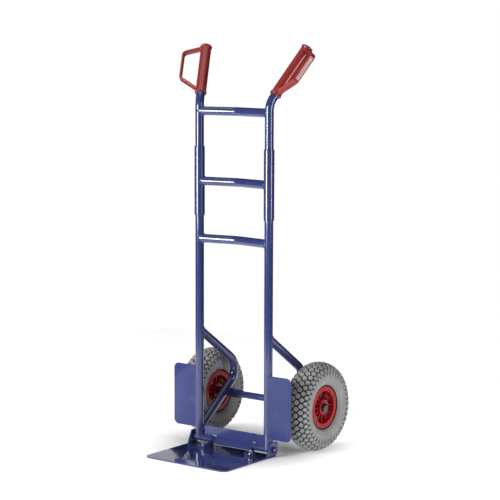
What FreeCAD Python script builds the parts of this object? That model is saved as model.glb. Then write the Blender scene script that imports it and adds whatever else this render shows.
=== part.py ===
import FreeCAD, Part
import math
import os
import Sketcher

# Hand truck with a folding toe plate, welded from round steel tube, on two pneumatic wheels.
# +Z is up, the toe plate points along -Y, and X runs along the axle. The origin lies on the
# floor, in the middle of the space that the truck takes. "left" is the -X side, as the truck
# is seen from its toe plate. All lengths are in millimetres and all angles in degrees.

SIZES = [
    # frame tubes
    ("tube_diameter", 25, "outside diameter of every frame tube"),
    ("tube_wall", 2, "wall of every frame tube"),
    ("rail_spacing", 250, "distance between the centre lines of the two rails"),
    ("rail_joint_height", 780, "height at which the lower and upper rails meet"),
    ("corner_height", 1010, "height of the corner where a rail turns into its handle"),
    ("handle_tilt", 37.2, "lean of a handle away from upright"),
    ("handle_splay", 28.9, "turn of a handle outwards from straight back"),
    ("handle_bend_radius", 60, "centre line radius of the handle bend"),
    ("handle_length", 186, "length of a handle from its corner to the tube end"),
    ("sleeve_length", 198, "length of the sleeve round the rail joint"),
    ("sleeve_wall", 2.4, "wall of the joint sleeve"),
    ("tube_fit", 0.1, "radial gap between a tube and what slides over it"),
    # crossbars
    ("crossbar_bow", 20, "how far the middle of a crossbar lies behind the rails"),
    ("crossbar_bend_radius", 90, "centre line radius of the crossbar bend"),
    ("upper_crossbar_height", 983, "height of the upper crossbar"),
    ("lower_crossbar_height", 612.5, "height of the lower crossbar"),
    # struts that carry the axle
    ("strut_lower_angle", 38.27, "slope of a strut's lower leg, under which the axle lies"),
    ("strut_upper_angle", 34.76, "slope of a strut's upper leg"),
    ("strut_overhang", 56.9, "distance of a strut's corner behind the axle"),
    ("axle_seat_depth", 0.275, "depth that the axle is let into a strut"),
    ("strut_bend_radius", 50, "centre line radius of the strut bend"),
    # axle and wheels
    ("axle_diameter", 20, "diameter of the axle"),
    ("tyre_setback", 14, "distance of the tyres' front behind the rails' centre lines"),
    ("collar_length", 43, "length of the collar that stiffens the axle beside a strut"),
    ("collar_wall", 3, "wall of that collar"),
    ("wheel_diameter", 260, "diameter of the tyre over its tread"),
    ("wheel_width", 85, "width of the tyre"),
    ("wheel_gap", 13.7, "gap between a rail and the tyre beside it"),
    ("tyre_wall", 6, "wall of the tyre's sides and tread"),
    ("tube_rubber", 1.5, "wall of the inner tube"),
    ("rim_flange_diameter", 123, "diameter of the rim flange"),
    ("rim_seat_diameter", 104, "diameter of the seat that the tyre bead grips"),
    ("rim_wall", 4, "wall of the moulded rim"),
    ("rim_width", 56, "width of the rim over its flanges"),
    ("rim_ribs", 12, "number of ribs on each rim half"),
    ("hub_diameter", 44, "diameter of the hub boss"),
    ("hub_width", 54, "width of the hub"),
    ("bearing_length", 50, "length of the roller bearing"),
    ("roller_diameter", 4.9, "diameter of a bearing roller"),
    ("roller_count", 8, "number of rollers in a bearing"),
    ("running_gap", 0.05, "radial gap of the bearing on its axle"),
    ("end_gap", 0.4, "gap at the ends of pieces that turn beside each other"),
    ("rib_thickness", 3, "thickness of a rim rib"),
    ("rib_height", 11, "height of a rim rib over the web"),
    ("hub_cap_height", 7, "height of the cap over the axle's end"),
    ("hub_cap_diameter", 29, "diameter of the hub cap's brim"),
    ("hub_washer_thickness", 1.5, "thickness of the washer outside the hub"),
    ("wheel_spacer_diameter", 26, "outside diameter of the spacer inside the hub"),
    ("rim_screw_circle", 76, "diameter of the circle of rim screws"),
    ("rim_screw_count", 4, "number of screws that hold the rim halves together"),
    ("rim_screw_diameter", 5, "diameter of a rim screw"),
    ("valve_circle", 67.2, "diameter of the circle that the valve opening lies on"),
    ("valve_opening", 17.5, "diameter of the round opening for the valve"),
    ("valve_diameter", 7, "diameter of the valve stem"),
    ("valve_cap_length", 8, "length of the valve's cap"),
    # wheel guards
    ("guard_start", 6, "distance of a guard's inner edge outside its rail's centre line"),
    ("guard_width", 81.6, "width of a guard"),
    ("guard_bottom", 52, "height of a guard's lower edge"),
    ("guard_top", 236, "height of a guard's upper edge"),
    ("guard_thickness", 3, "thickness of a guard"),
    ("guard_setback", 8, "distance of a guard's back face before the rails' centre lines"),
    ("guard_corner_radius", 15, "radius of a guard's outer corners"),
    # toe plate and its hinge
    ("ear_gap", 4.5, "gap between a rail and the toe plate's ear beside it"),
    ("toe_reach", 230, "distance of the toe plate's front edge before the rails"),
    ("toe_heel", 4, "distance that the toe plate reaches behind the pivot"),
    ("toe_thickness", 4, "thickness of the toe plate and its ears"),
    ("toe_corner_radius", 19, "radius of the toe plate's front corners"),
    ("ear_height", 42, "height of the ears over the floor"),
    ("ear_front", 14, "distance of an ear's top edge before the pivot"),
    ("ear_back", 19, "distance of an ear's back edge behind the pivot"),
    ("ear_toe", 34, "distance of an ear's front tip before the pivot"),
    ("pivot_height", 20, "height of the hinge line over the floor"),
    ("barrel_diameter", 20, "outside diameter of the hinge barrels"),
    ("barrel_reach", 35, "how far a barrel reaches inwards past its rail"),
    ("pivot_bolt_diameter", 10, "diameter of the pivot bolts"),
    ("pivot_gap", 0.1, "radial gap of a pivot bolt in its holes"),
    ("hinge_gap", 0.5, "side gap between a barrel and what turns beside it"),
    ("bracket_thickness", 4, "thickness of the hinge brackets"),
    ("bracket_width", 22, "width of a bracket's foot"),
    ("bracket_front", 44, "distance of a bracket's front edge before the pivot"),
    ("bracket_back", 16, "distance of a bracket foot's back edge before the pivot"),
    ("bracket_screw_diameter", 8, "diameter of the screw in a bracket's foot"),
    ("bracket_screw_setback", 30, "distance of that screw before the pivot"),
    ("screw_gap", 0.2, "radial gap of a screw in its hole"),
    ("washer_thickness", 1.6, "thickness of a plain washer"),
    ("ear_corner_radius", 6, "radius of an ear's top corners"),
    ("kick_top", 57, "height of the kick plate's upper edge"),
    ("kick_bottom", 33, "height of the kick plate's lower edge beside the barrels"),
    ("kick_fold", 29, "height of the line where the kick plate's lip starts"),
    ("kick_lip_bottom", 14, "height of the lip's front edge"),
    ("kick_lip_reach", 11, "distance of the lip's front edge before the pivot"),
    ("kick_lip_gap", 3, "side gap between the lip and a pivot bolt's head"),
    ("kick_thickness", 3, "thickness of the kick plate"),
    ("kick_setback", 3, "distance of the kick plate's front face behind the pivot"),
    # handle grips
    ("grip_wall", 2.9, "wall of a grip's sleeve"),
    ("grip_length", 168, "length of a grip from its collar to its dome"),
    ("grip_start", 28, "distance of the grip's collar past the handle corner"),
    ("grip_flange_rise", 2, "height of the collar and the end flange over the sleeve"),
    ("grip_collar_width", 5, "width of the collar and of the end flange"),
    ("grip_flange_slope", 2, "length of the slope between sleeve and collar"),
    ("grip_dome_rise", 4, "height of the dome over the end flange"),
    ("guard_turn", 90, "turn of the knuckle guard round the grip"),
    ("loop_offset", 65, "distance of the knuckle guard's bar from the grip's centre line"),
    ("loop_low_joint", 5, "height where the guard's lower leg would reach the grip's centre line"),
    ("loop_low_corner", 52, "height of the guard's lower corner"),
    ("loop_high_corner", 142, "height of the guard's upper corner"),
    ("loop_high_joint", 162, "height where the guard's upper leg would reach the grip's centre line"),
    ("loop_width", 20, "width of the guard's strap"),
    ("loop_thickness", 7, "thickness of the guard's strap"),
    ("loop_corner_radius", 13, "radius of the guard's corners at the middle of the strap"),
]

SIDES = (("left", -1), ("right", 1))

doc = FreeCAD.newDocument("hand_truck")
sheet = doc.addObject("Spreadsheet::Sheet", "Size")
for row, (alias, value, meaning) in enumerate(SIZES, start=1):
    sheet.set(f"A{row}", meaning)
    sheet.set(f"B{row}", str(value))
    sheet.setAlias(f"B{row}", alias)
doc.recompute()

RAIL_X = "Size.rail_spacing / 2"
AXLE_SETBACK = "(Size.wheel_diameter / 2 + Size.tyre_setback)"
RAIL_Y = f"(Size.toe_reach - {AXLE_SETBACK} - Size.wheel_diameter / 2) / 2"
TUBE_R = "Size.tube_diameter / 2"
SLEEVE_R = "(Size.tube_diameter / 2 + Size.tube_fit + Size.sleeve_wall)"
AXLE_Y = f"({RAIL_Y} + {AXLE_SETBACK})"
AXLE_Z = "Size.wheel_diameter / 2"
WHEEL_X = f"({RAIL_X} + {TUBE_R} + Size.wheel_gap + Size.wheel_width / 2)"
EAR_INNER = f"({RAIL_X} + {TUBE_R} + Size.ear_gap)"
TOE_HALF = f"({EAR_INNER} + Size.toe_thickness)"
BARREL_START = f"({RAIL_X} - {TUBE_R} - Size.barrel_reach)"
BARREL_LENGTH = f"({EAR_INNER} - Size.hinge_gap - {BARREL_START})"

parts = []


def number(expression):
    """The value of an expression over the sheet."""
    return float(sheet.evalExpression(f"({expression}) * 1.0"))


def place(piece, x="0", y="0", z="0", turn="rotationz(0)"):
    piece.setExpression("Placement", f"placement(vector({x}; {y}; {z}); {turn})")
    return piece


def part(piece, name):
    """Marks a finished piece as one node of the truck."""
    piece.Label = name
    parts.append(piece)
    return piece


def cylinder(name, radius, length, x="0", y="0", z="0", turn="rotationz(0)"):
    rod = doc.addObject("Part::Cylinder", name)
    rod.setExpression("Radius", radius)
    rod.setExpression("Height", length)
    return place(rod, x, y, z, turn)


def join(name, pieces):
    fused = doc.addObject("Part::MultiFuse", name)
    fused.Shapes = pieces
    return fused


def cut(name, base, tools):
    """The base with every tool taken away."""
    result = doc.addObject("Part::Cut", name)
    result.Base = base
    result.Tool = tools[0] if len(tools) == 1 else join(f"{name}_tools", tools)
    return result


def group(name, pieces):
    """Separate like solids that share one node."""
    compound = doc.addObject("Part::Compound", name)
    compound.Links = pieces
    return compound


def ring(name, outer, inner, length, x="0", y="0", z="0", turn="rotationz(0)"):
    """A plain round sleeve."""
    overrun = f"({length}) + 2"
    body = cylinder(f"{name}_outside", outer, length)
    bore = cylinder(f"{name}_bore", inner, overrun, z="-1")
    return place(cut(name, body, [bore]), x, y, z, turn)


def origin_plane(body, role):
    return next(plane for plane in body.Origin.OriginFeatures if plane.Role == role)


def new_sketch(body, name, role):
    sketch = body.newObject("Sketcher::SketchObject", name)
    sketch.AttachmentSupport = (origin_plane(body, role), [""])
    sketch.MapMode = "FlatFace"
    return sketch


def bind(sketch, kind, elements, expression):
    """Adds a constraint whose value is an expression over the sheet."""
    index = sketch.addConstraint(Sketcher.Constraint(kind, *elements, number(expression)))
    sketch.setExpression(f"Constraints[{index}]", expression)


def bound_circle(sketch, radius):
    circle = sketch.addGeometry(Part.Circle(FreeCAD.Vector(), FreeCAD.Vector(0, 0, 1), number(radius)))
    sketch.addConstraint(Sketcher.Constraint("Coincident", circle, 3, -1, 1))
    bind(sketch, "Radius", (circle,), radius)


def outline(body, name, role, points):
    """A closed sketch of straight lines whose corners are given as pairs of expressions."""
    sketch = new_sketch(body, name, role)
    corners = [FreeCAD.Vector(number(x), number(y), 0) for x, y in points]
    count = len(corners)
    for i in range(count):
        sketch.addGeometry(Part.LineSegment(corners[i], corners[(i + 1) % count]))
    for i in range(count):
        sketch.addConstraint(Sketcher.Constraint("Coincident", i, 2, (i + 1) % count, 1))
    for i, (x, y) in enumerate(points):
        bind(sketch, "DistanceX", (-1, 1, i, 1), x)
        bind(sketch, "DistanceY", (-1, 1, i, 1), y)
    return sketch


def pad(body, sketch, length, start="0"):
    """Pads a sketch by a length, from a start height over its plane."""
    sketch.setExpression("AttachmentOffset.Base.z", start)
    feature = body.newObject("PartDesign::Pad", f"{body.Name}_pad_{len(body.Group)}")
    feature.Profile = sketch
    feature.setExpression("Length", length)
    return feature


def revolve(name, points):
    """A body turned about its own Z axis from an outline of (radius, height) pairs."""
    body = doc.addObject("PartDesign::Body", name)
    sketch = outline(body, f"{name}_section", "XZ_Plane", points)
    feature = body.newObject("PartDesign::Revolution", f"{name}_turned")
    feature.Profile = sketch
    feature.ReferenceAxis = (sketch, ["V_Axis"])
    feature.Angle = 360
    return body


def bent_path(body, name, first, second, bend, radius):
    """Two straight runs in the body's XZ plane, joined by an arc; the first runs up along Z."""
    sketch = new_sketch(body, name, "XZ_Plane")
    first_mm = number(first)
    second_mm = number(second)
    angle = math.radians(number(bend))
    radius_mm = number(radius)
    setback = radius_mm * math.tan(angle / 2)
    centre = FreeCAD.Vector(radius_mm, first_mm - setback, 0)
    circle = Part.Circle(centre, FreeCAD.Vector(0, 0, 1), radius_mm)
    arc = Part.ArcOfCircle(circle, math.pi - angle, math.pi)
    end = FreeCAD.Vector(second_mm * math.sin(angle), first_mm + second_mm * math.cos(angle), 0)
    sketch.addGeometry(Part.LineSegment(FreeCAD.Vector(), arc.EndPoint))
    sketch.addGeometry(arc)
    sketch.addGeometry(Part.LineSegment(arc.StartPoint, end))
    sketch.addConstraint(Sketcher.Constraint("Coincident", 0, 1, -1, 1))
    sketch.addConstraint(Sketcher.Constraint("Vertical", 0))
    sketch.addConstraint(Sketcher.Constraint("Tangent", 0, 2, 1, 2))
    sketch.addConstraint(Sketcher.Constraint("Tangent", 1, 1, 2, 1))
    bind(sketch, "Radius", (1,), radius)
    bind(sketch, "DistanceY", (-1, 1, 0, 2), f"{first} - {radius} * tan(({bend}) / 2)")
    bind(sketch, "DistanceX", (-1, 1, 2, 2), f"{second} * sin({bend})")
    bind(sketch, "DistanceY", (-1, 1, 2, 2), f"{first} + {second} * cos({bend})")
    return sketch


def bent_tube(name, first, second, bend, radius, hollow=True):
    """A frame tube along a bent path: swept solid, then swept hollow."""
    body = doc.addObject("PartDesign::Body", name)
    path = bent_path(body, f"{name}_path", first, second, bend, radius)
    steps = [("PartDesign::AdditivePipe", TUBE_R, "outside")]
    if hollow:
        steps.append(("PartDesign::SubtractivePipe", f"{TUBE_R} - Size.tube_wall", "bore"))
    for kind, section_radius, step in steps:
        section = new_sketch(body, f"{name}_{step}_section", "XY_Plane")
        bound_circle(section, section_radius)
        doc.recompute()
        feature = body.newObject(kind, f"{name}_{step}")
        feature.Profile = section
        feature.Spine = (path, [])
        doc.recompute()
    return body


# --- rails, joint sleeves and crossbars ------------------------------------------------------

FIRST_RUN = "(Size.corner_height - Size.rail_joint_height)"
RAIL_FOOT = "Size.pivot_height"


def rail_tool(name, side, radius=TUBE_R):
    """An upright cylinder on a rail's centre line, for coping what is welded to the rail."""
    return cylinder(name, radius, "Size.corner_height + 100", f"{side} * {RAIL_X}", RAIL_Y, "-10")


def barrel_tool(name, side, radius="Size.barrel_diameter / 2"):
    """A cylinder along a hinge barrel."""
    start = BARREL_START if side > 0 else f"-({EAR_INNER} - Size.hinge_gap)"
    return cylinder(name, radius, BARREL_LENGTH, start, RAIL_Y, "Size.pivot_height", "rotationy(90)")


def handle_turn(side):
    """Turns a piece so that its X axis points where the handle leans."""
    return f"rotationz(90 - {side} * Size.handle_splay)"


for name, side in SIDES:
    x = f"{side} * {RAIL_X}"
    stock = ring(f"lower_rail_{name}_stock", TUBE_R, f"{TUBE_R} - Size.tube_wall",
                 f"Size.rail_joint_height - {RAIL_FOOT}", x, RAIL_Y, RAIL_FOOT)
    seat = barrel_tool(f"lower_rail_{name}_seat", side)
    part(cut(f"lower_rail_{name}_coped", stock, [seat]), f"lower_rail_{name}")

    upper = bent_tube(f"upper_rail_{name}_tube", FIRST_RUN, "Size.handle_length",
                      "Size.handle_tilt", "Size.handle_bend_radius")
    part(place(upper, x, RAIL_Y, "Size.rail_joint_height", handle_turn(side)), f"upper_rail_{name}")

    sleeve = ring(f"joint_sleeve_{name}_tube", SLEEVE_R, f"{TUBE_R} + Size.tube_fit",
                  "Size.sleeve_length", x, RAIL_Y,
                  "Size.rail_joint_height - Size.sleeve_length / 2")
    part(sleeve, f"joint_sleeve_{name}")

CROSSBARS = (("upper", "Size.upper_crossbar_height", TUBE_R),
             ("middle", "Size.rail_joint_height", SLEEVE_R),
             ("lower", "Size.lower_crossbar_height", TUBE_R))
BOW_ANGLE = f"atan(Size.crossbar_bow / ({RAIL_X}))"
HALF_BAR = f"sqrt(({RAIL_X})^2 + Size.crossbar_bow^2)"

for name, height, post_radius in CROSSBARS:
    bar = bent_tube(f"crossbar_{name}_tube", HALF_BAR, HALF_BAR, f"2 * {BOW_ANGLE}",
                    "Size.crossbar_bend_radius")
    # The bar starts on the left rail; its bend opens towards the front.
    place(bar, f"-{RAIL_X}", RAIL_Y, height,
          f"rotationz({BOW_ANGLE}) * rotationz(-90) * rotationx(-90)")
    posts = [rail_tool(f"crossbar_{name}_{end}_post", side, post_radius) for end, side in SIDES]
    part(cut(f"crossbar_{name}_coped", bar, posts), f"crossbar_{name}")


# --- struts, axle and collars ----------------------------------------------------------------

STRUT_REACH = f"({AXLE_SETBACK} + Size.strut_overhang)"
# Straight up from the axle's centre to the centre line of the lower leg that rests on it.
AXLE_TO_LEG = (f"(({TUBE_R} + Size.axle_diameter / 2 - Size.axle_seat_depth)"
               " / cos(Size.strut_lower_angle))")
STRUT_CORNER = (f"({AXLE_Z} + {AXLE_TO_LEG}"
                " + Size.strut_overhang * tan(Size.strut_lower_angle))")
STRUT_TOP = f"({STRUT_CORNER} + {STRUT_REACH} * tan(Size.strut_upper_angle))"
UPPER_LEG = f"({STRUT_REACH} / cos(Size.strut_upper_angle))"
LOWER_LEG = f"({STRUT_REACH} / cos(Size.strut_lower_angle))"
STRUT_BEND = "(180 - Size.strut_upper_angle - Size.strut_lower_angle)"
HUB_FACE = f"({WHEEL_X} + Size.hub_width / 2)"
CAP_START = f"({HUB_FACE} + Size.end_gap + Size.hub_washer_thickness)"
AXLE_END = f"({CAP_START} + Size.hub_cap_height / 2)"

axle_tool = cylinder("axle_seat", "Size.axle_diameter / 2", f"2 * {AXLE_END}",
                     f"-{AXLE_END}", AXLE_Y, AXLE_Z, "rotationy(90)")


def strut_tube(name, side, hollow=True):
    """Starts on the rail, leans back and down, and turns forward under itself."""
    strut = bent_tube(name, UPPER_LEG, LOWER_LEG, STRUT_BEND, "Size.strut_bend_radius", hollow)
    return place(strut, f"{side} * {RAIL_X}", RAIL_Y, STRUT_TOP,
                 "rotationz(90) * rotationy(90 + Size.strut_upper_angle)")


for name, side in SIDES:
    strut = strut_tube(f"axle_strut_{name}_tube", side)
    strut_tools = [rail_tool(f"axle_strut_{name}_post", side), axle_tool]
    part(cut(f"axle_strut_{name}_coped", strut, strut_tools), f"axle_strut_{name}")

    collar_inner_end = f"({RAIL_X} - Size.collar_length)"
    collar_start = collar_inner_end if side > 0 else f"-{RAIL_X}"
    collar = ring(f"axle_collar_{name}_ring", "Size.axle_diameter / 2 + Size.collar_wall",
                  "Size.axle_diameter / 2", "Size.collar_length",
                  collar_start, AXLE_Y, AXLE_Z, "rotationy(90)")
    notch = strut_tube(f"axle_collar_{name}_notch", side, hollow=False)
    part(cut(f"axle_collar_{name}_coped", collar, [notch]), f"axle_collar_{name}")

axle = cylinder("axle_rod", "Size.axle_diameter / 2", f"2 * {AXLE_END}",
                f"-{AXLE_END}", AXLE_Y, AXLE_Z, "rotationy(90)")
part(axle, "axle")


# --- wheel guards and kick plate -------------------------------------------------------------


def edges_at(feature, direction, keep):
    """Names of the straight edges along a direction whose middle point passes a test."""
    names = []
    for number_of_edge, edge in enumerate(feature.Shape.Edges, start=1):
        if edge.Curve.TypeId != "Part::GeomLine":
            continue
        along = abs(edge.tangentAt(edge.FirstParameter).dot(direction))
        if along > 0.999 and keep(edge.CenterOfMass):
            names.append(f"Edge{number_of_edge}")
    return names


def round_edges(body, feature, direction, keep, radius):
    doc.recompute()
    fillet = body.newObject("PartDesign::Fillet", f"{body.Name}_round_{len(body.Group)}")
    fillet.Base = (feature, edges_at(feature, direction, keep))
    fillet.setExpression("Radius", radius)
    doc.recompute()
    return fillet


for name, side in SIDES:
    body = doc.addObject("PartDesign::Body", f"wheel_guard_{name}_plate")
    inner = f"{side} * ({RAIL_X} + Size.guard_start)"
    outer = f"{side} * ({RAIL_X} + Size.guard_start + Size.guard_width)"
    corners = [(inner, "Size.guard_bottom"), (outer, "Size.guard_bottom"),
               (outer, "Size.guard_top"), (inner, "Size.guard_top")]
    sheet_metal = pad(body, outline(body, f"wheel_guard_{name}_outline", "XZ_Plane", corners),
                      "Size.guard_thickness")
    middle = number(f"{RAIL_X} + Size.guard_start + Size.guard_width / 2")
    round_edges(body, sheet_metal, FreeCAD.Vector(0, 1, 0),
                lambda point: abs(point.x) > middle, "Size.guard_corner_radius")
    place(body, "0", f"{RAIL_Y} - Size.guard_setback")
    part(cut(f"wheel_guard_{name}_coped", body, [rail_tool(f"wheel_guard_{name}_post", side)]),
         f"wheel_guard_{name}")

LIP_RUN = "(Size.kick_setback + Size.kick_lip_reach)"
LIP_SLOPE = f"((Size.kick_fold - Size.kick_lip_bottom) / {LIP_RUN})"
LIP_DROP = f"(Size.kick_thickness * sqrt(1 + {LIP_SLOPE}^2))"
KICK_BACK = "(Size.kick_setback + Size.kick_thickness)"

kick = doc.addObject("PartDesign::Body", "kick_plate_folded")
wall = [("Size.kick_setback", "Size.kick_bottom"), (KICK_BACK, "Size.kick_bottom"),
        (KICK_BACK, "Size.kick_top"), ("Size.kick_setback", "Size.kick_top")]
pad(kick, outline(kick, "kick_wall_outline", "YZ_Plane", wall), "Size.rail_spacing",
    f"-{RAIL_X}")
lip = [("Size.kick_setback", "Size.kick_bottom"), ("Size.kick_setback", "Size.kick_fold"),
       ("-Size.kick_lip_reach", "Size.kick_lip_bottom"),
       ("-Size.kick_lip_reach", f"Size.kick_lip_bottom - {LIP_DROP}"),
       (KICK_BACK, f"Size.kick_fold - {LIP_DROP} + Size.kick_thickness * {LIP_SLOPE}"),
       (KICK_BACK, "Size.kick_bottom")]
LIP_HALF = (f"({BARREL_START} - Size.hinge_gap - Size.bracket_thickness"
            " - Size.pivot_bolt_diameter / 2 - Size.kick_lip_gap)")
pad(kick, outline(kick, "kick_lip_outline", "YZ_Plane", lip), f"2 * {LIP_HALF}", f"-{LIP_HALF}")
place(kick, "0", RAIL_Y)
kick_tools = [rail_tool(f"kick_plate_{name}_post", side) for name, side in SIDES]
kick_tools += [strut_tube(f"kick_plate_{name}_notch", side, hollow=False) for name, side in SIDES]
part(cut("kick_plate_coped", kick, kick_tools), "kick_plate")


# --- hinge barrels, toe plate, brackets and their fasteners ----------------------------------

BOLT_R = "Size.pivot_bolt_diameter / 2"
HOLE_R = f"({BOLT_R} + Size.pivot_gap)"
BRACKET_OUTER = f"({BARREL_START} - Size.hinge_gap)"
BRACKET_INNER = f"({BRACKET_OUTER} - Size.bracket_thickness)"
SCREW_X = f"({BRACKET_OUTER} + 1.05 * Size.bracket_screw_diameter)"
SCREW_Y = f"({RAIL_Y} - Size.bracket_screw_setback)"
SCREW_R = "Size.bracket_screw_diameter / 2"
FOOT_TOP = "(Size.toe_thickness + Size.bracket_thickness)"


def outboard(side):
    """Turns a piece so that its Z axis points away from the middle of the truck."""
    return f"rotationy({90 * side})"


for name, side in SIDES:
    barrel = ring(f"hinge_barrel_{name}_tube", "Size.barrel_diameter / 2", HOLE_R, BARREL_LENGTH,
                  f"{side} * {BARREL_START}", RAIL_Y, "Size.pivot_height", outboard(side))
    part(barrel, f"hinge_barrel_{name}")

toe = doc.addObject("PartDesign::Body", "toe_plate_welded")
blade = [(f"-{TOE_HALF}", "-Size.toe_reach"), (TOE_HALF, "-Size.toe_reach"),
         (TOE_HALF, "Size.toe_heel"), (f"-{TOE_HALF}", "Size.toe_heel")]
blade_pad = pad(toe, outline(toe, "toe_blade_outline", "XY_Plane", blade), "Size.toe_thickness")
round_edges(toe, blade_pad, FreeCAD.Vector(0, 0, 1), lambda point: point.y < 0,
            "Size.toe_corner_radius")
ear = [("-Size.ear_toe", "0"), ("Size.ear_back", "0"), ("Size.ear_back", "Size.ear_height"),
       ("-Size.ear_front", "Size.ear_height")]
for name, side in SIDES:
    start = EAR_INNER if side > 0 else f"-{TOE_HALF}"
    ear_pad = pad(toe, outline(toe, f"ear_{name}_outline", "YZ_Plane", ear),
                  "Size.toe_thickness", start)
doc.recompute()
ear_top = number("Size.ear_height")
ear_back = number("Size.ear_back")
round_edges(toe, toe.Tip, FreeCAD.Vector(1, 0, 0), lambda point: point.z > ear_top - 1,
            "Size.ear_corner_radius")
round_edges(toe, toe.Tip, FreeCAD.Vector(1, 0, 0),
            lambda point: point.z < 1 and point.y > ear_back - 1, "Size.ear_back - Size.toe_heel")
place(toe, "0", RAIL_Y)
pivot_hole = cylinder("pivot_hole", HOLE_R, f"2 * {TOE_HALF} + 2", f"-{TOE_HALF} - 1",
                      RAIL_Y, "Size.pivot_height", "rotationy(90)")
toe_tools = [pivot_hole]


def countersunk(name, x, grow, height):
    """A flat-headed shape whose cone fills the toe plate's thickness."""
    head = doc.addObject("Part::Cone", f"{name}_head")
    head.setExpression("Radius1", f"{SCREW_R} + Size.toe_thickness + {grow}")
    head.setExpression("Radius2", f"{SCREW_R} + {grow}")
    head.setExpression("Height", "Size.toe_thickness")
    place(head, x, SCREW_Y)
    shank = cylinder(f"{name}_shank", f"{SCREW_R} + {grow}", height, x, SCREW_Y)
    return join(name, [head, shank])


SCREW_HEIGHT = f"({FOOT_TOP} + Size.washer_thickness + Size.bracket_screw_diameter)"
bracket_screws = []
bracket_nuts = []
bracket_washers = []
pivot_washers = []
pivot_nuts = []
NUT_START = f"({TOE_HALF} + Size.washer_thickness)"
NUT_HEIGHT = "0.8 * Size.pivot_bolt_diameter"


def nut(name, thread, height, x, y, z, turn="rotationz(0)"):
    """A hexagon nut of the usual width across flats, bored for its thread."""
    prism = doc.addObject("Part::Prism", f"{name}_hexagon")
    prism.Polygon = 6
    prism.setExpression("Circumradius", f"1.6 * {thread} / sqrt(3)")
    prism.setExpression("Height", height)
    bore = cylinder(f"{name}_bore", f"{thread} / 2", f"{height} + 2", z="-1")
    return place(cut(name, prism, [bore]), x, y, z, turn)


for name, side in SIDES:
    x = f"{side} * {SCREW_X}"
    toe_tools.append(countersunk(f"screw_hole_{name}", x, "Size.screw_gap", SCREW_HEIGHT))
    bracket_screws.append(countersunk(f"bracket_screw_{name}", x, "0", SCREW_HEIGHT))
    bracket_washers.append(ring(f"bracket_washer_{name}", SCREW_R + " * 2", SCREW_R,
                                "Size.washer_thickness", x, SCREW_Y, FOOT_TOP))
    bracket_nuts.append(nut(f"bracket_nut_{name}", "Size.bracket_screw_diameter",
                            "0.8 * Size.bracket_screw_diameter", x, SCREW_Y,
                            f"{FOOT_TOP} + Size.washer_thickness"))

    bracket = doc.addObject("PartDesign::Body", f"hinge_bracket_{name}_bent")
    eye = "Size.barrel_diameter / 2"
    leg = [("-Size.bracket_front", "Size.toe_thickness"), ("0", "Size.toe_thickness"),
           ("0", "Size.pivot_height"), (f"-0.6 * {eye}", f"Size.pivot_height + 0.8 * {eye}"),
           (f"-1.4 * {eye}", "Size.pivot_height - 2"),
           ("-Size.bracket_front", f"{FOOT_TOP} + 2")]
    leg_start = BRACKET_INNER if side > 0 else f"-{BRACKET_OUTER}"
    pad(bracket, outline(bracket, f"bracket_leg_{name}", "YZ_Plane", leg),
        "Size.bracket_thickness", leg_start)
    foot_start = BRACKET_INNER if side > 0 else f"-{BRACKET_INNER} - Size.bracket_width"
    foot = [("-Size.bracket_front", "Size.toe_thickness"),
            ("-Size.bracket_back", "Size.toe_thickness"),
            ("-Size.bracket_back", FOOT_TOP), ("-Size.bracket_front", FOOT_TOP)]
    pad(bracket, outline(bracket, f"bracket_foot_{name}", "YZ_Plane", foot),
        "Size.bracket_width", foot_start)
    place(bracket, "0", RAIL_Y)
    bracket_eye = cylinder(f"bracket_eye_{name}", eye, "Size.bracket_thickness",
                           f"{side} * {BRACKET_INNER}", RAIL_Y, "Size.pivot_height",
                           outboard(side))
    bracket_hole = countersunk(f"bracket_hole_{name}", x, "Size.screw_gap", SCREW_HEIGHT)
    solid_bracket = join(f"hinge_bracket_{name}_solid", [bracket, bracket_eye])
    part(cut(f"hinge_bracket_{name}_drilled", solid_bracket, [pivot_hole, bracket_hole]),
         f"hinge_bracket_{name}")

    bolt_end = f"({TOE_HALF} + Size.washer_thickness + Size.pivot_bolt_diameter)"
    shank = cylinder(f"pivot_bolt_{name}_shank", BOLT_R, f"{bolt_end} - {BRACKET_INNER}",
                     f"{side} * {BRACKET_INNER}", RAIL_Y, "Size.pivot_height", outboard(side))
    head = cylinder(f"pivot_bolt_{name}_head", f"1.7 * {BOLT_R}", BOLT_R,
                    f"{side} * ({BRACKET_INNER} - {BOLT_R})", RAIL_Y, "Size.pivot_height",
                    outboard(side))
    part(join(f"pivot_bolt_{name}_solid", [shank, head]), f"pivot_bolt_{name}")
    pivot_washers.append(ring(f"pivot_washer_{name}", f"2 * {BOLT_R}", BOLT_R,
                              "Size.washer_thickness", f"{side} * {TOE_HALF}", RAIL_Y,
                              "Size.pivot_height", outboard(side)))
    pivot_nuts.append(nut(f"pivot_nut_{name}", "Size.pivot_bolt_diameter", NUT_HEIGHT,
                          f"{side} * {NUT_START}", RAIL_Y, "Size.pivot_height", outboard(side)))

part(cut("toe_plate_drilled", toe, toe_tools), "toe_plate")
part(group("bracket_screw_pair", bracket_screws), "bracket_screws")
part(group("bracket_washer_pair", bracket_washers), "bracket_washers")
part(group("bracket_nut_pair", bracket_nuts), "bracket_nuts")
part(group("pivot_washer_pair", pivot_washers), "pivot_washers")
part(group("pivot_nut_pair", pivot_nuts), "pivot_nuts")


# --- handle grips with their knuckle guards --------------------------------------------------

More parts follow.
